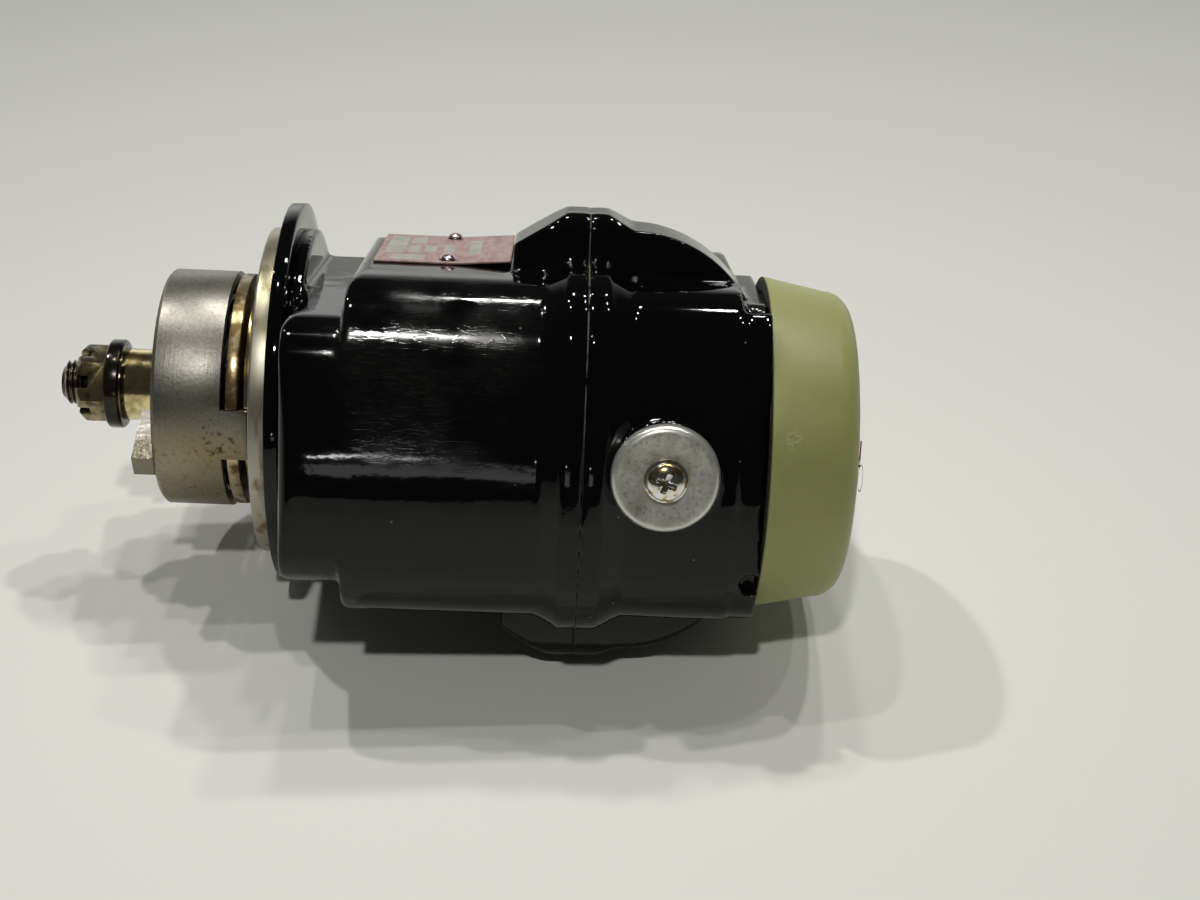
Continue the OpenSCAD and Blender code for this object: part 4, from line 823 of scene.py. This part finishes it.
# The spring cover closes the shell behind the clock spring. It is gold plated and brown with
# oil, and shows through the windows between the tabs.
cover_plate = metal_finish("oily_gold_cover", (0.46, 0.385, 0.23), (0.12, 0.082, 0.036),
                           (0.4, 0.58), 260.0, (0.3, 0.42), 620.0, 0.07)[0]
dressed(smoothed_copy("spring_cover", 0.3 * MM), cover_plate, "shell", "spring_cover",
        slot="gold_plate")
blue_spring = metal_finish("spring_steel", (0.20, 0.19, 0.20), (0.12, 0.10, 0.09))[0]
repainted(blue_spring, "coupling_spring")
repainted(dark_steel, "flyweight_a", "flyweight_b")

# Two ball bearings, the seal and the stop pin sit in the front of the drive housing, and a
# cast bar carries the rear bearing and the distributor's bush.
race_steel = metal_finish("race_steel", (0.62, 0.61, 0.58), (0.48, 0.46, 0.42),
                          rough=(0.12, 0.24), grain_depth=0.003)[0]
repainted(race_steel, "front_bearing_outer", "front_bearing_balls", "front_bearing_inner",
          "rear_bearing_outer", "rear_bearing_balls", "rear_bearing_inner", "stop_pin")
cast_metal = metal_finish("bare_casting", (0.56, 0.56, 0.54), (0.40, 0.39, 0.36),
                          rough=(0.4, 0.55), grain_scale=420.0, grain_depth=0.06, metallic=0.9)[0]
repainted(cast_metal, "bearing_bar")


def moulded_finish(name, clean, shaded, scale=160.0, rough=(0.35, 0.5)):
    """Moulded plastic or rubber with a slight mottle and a fine skin."""
    return metal_finish(name, clean, shaded, (0.35, 0.65), scale, rough, 800.0, 0.02, 0.0)[0]


repainted(moulded_finish("seal_rubber", (0.018, 0.017, 0.016), (0.03, 0.027, 0.024)),
          "shaft_seal")
brass_finish = metal_finish("bush_brass", (0.60, 0.43, 0.17), (0.40, 0.26, 0.10),
                            rough=(0.22, 0.36))[0]
repainted(brass_finish, "bar_bush", "block_bush", "block_electrodes", "finger_electrode")

# The magnet rotor turns between two laminated pole shoes, which carry its flux round through
# the coil's core. The shoes and poles are stacks of thin steel sheets.
sheet_t = 0.36 * MM
waves_per_unit = 20
laminated, tree, shader, place = metal_finish(
    "steel_laminations", (0.33, 0.33, 0.34), (0.22, 0.20, 0.18), rough=(0.32, 0.48))
stack = put(tree, "ShaderNodeTexWave", {"Vector": place, "Scale": 1 / (waves_per_unit * sheet_t)},
            bands_direction="X").outputs[0]
bumped(tree, shader, stack, 0.06 * MM)
repainted(laminated, "pole_shoes", "coil_core", "rotor_poles")
magnet = metal_finish("cast_magnet", (0.30, 0.29, 0.28), (0.18, 0.17, 0.16), rough=(0.34, 0.5),
                      grain_scale=500.0, grain_depth=0.03)[0]
repainted(magnet, "rotor_magnet")
repainted(brass_finish, "rotor_end_plates")
steel_finish = metal_finish("ground_steel", (0.50, 0.49, 0.46), (0.30, 0.27, 0.22), (0.5, 0.75),
                            120.0, (0.22, 0.36), 1400.0, 0.006)[0]
repainted(steel_finish, "rotor_gear", "breaker_cam", "distributor_axle", "breaker_pivot")

# The coil is wound on the core and wrapped in varnished tape, and wooden-brown wedges hold
# it under the lugs of the housing.
wrap = moulded_finish("varnished_wrap", (0.20, 0.085, 0.025), (0.12, 0.045, 0.015), 110.0,
                      (0.28, 0.42))
tape = wrap.node_tree
turns_of_tape = put(tape, "ShaderNodeTexWave", {
    "Vector": tape.nodes["Texture Coordinate"].outputs["Object"], "Scale": 40.0,
    "Distortion": 0.6}, bands_direction="Z").outputs[0]
bumped(tape, tape.nodes["Principled BSDF"], turns_of_tape, 0.1 * MM)
repainted(wrap, "coil_winding")
repainted(moulded_finish("pressed_fibre", (0.24, 0.10, 0.04), (0.16, 0.065, 0.03)), "coil_wedges")

# The contact breaker is a plated base with a sprung arm that rides on the cam, and two
# silvery contacts.
repainted(metal_finish("breaker_plating", (0.56, 0.53, 0.42), (0.38, 0.34, 0.24),
                       rough=(0.26, 0.4))[0], "breaker_base", "breaker_arm")
repainted(race_steel, "fixed_contact")

# The distributor gear is tough moulded plastic on a steel axle, with a dark finger that
# feeds the outlet block. The block is brown-black moulding with a carbon brush in its middle.
repainted(moulded_finish("gear_plastic", (0.42, 0.33, 0.18), (0.33, 0.25, 0.13)),
          "distributor_gear")
repainted(moulded_finish("dark_moulding", (0.045, 0.022, 0.018), (0.03, 0.014, 0.012), 120.0,
                         (0.2, 0.34)), "distributor_finger", "distributor_block")
repainted(moulded_finish("brush_carbon", (0.02, 0.02, 0.021), (0.035, 0.034, 0.033),
                         rough=(0.45, 0.6)), "carbon_brush")
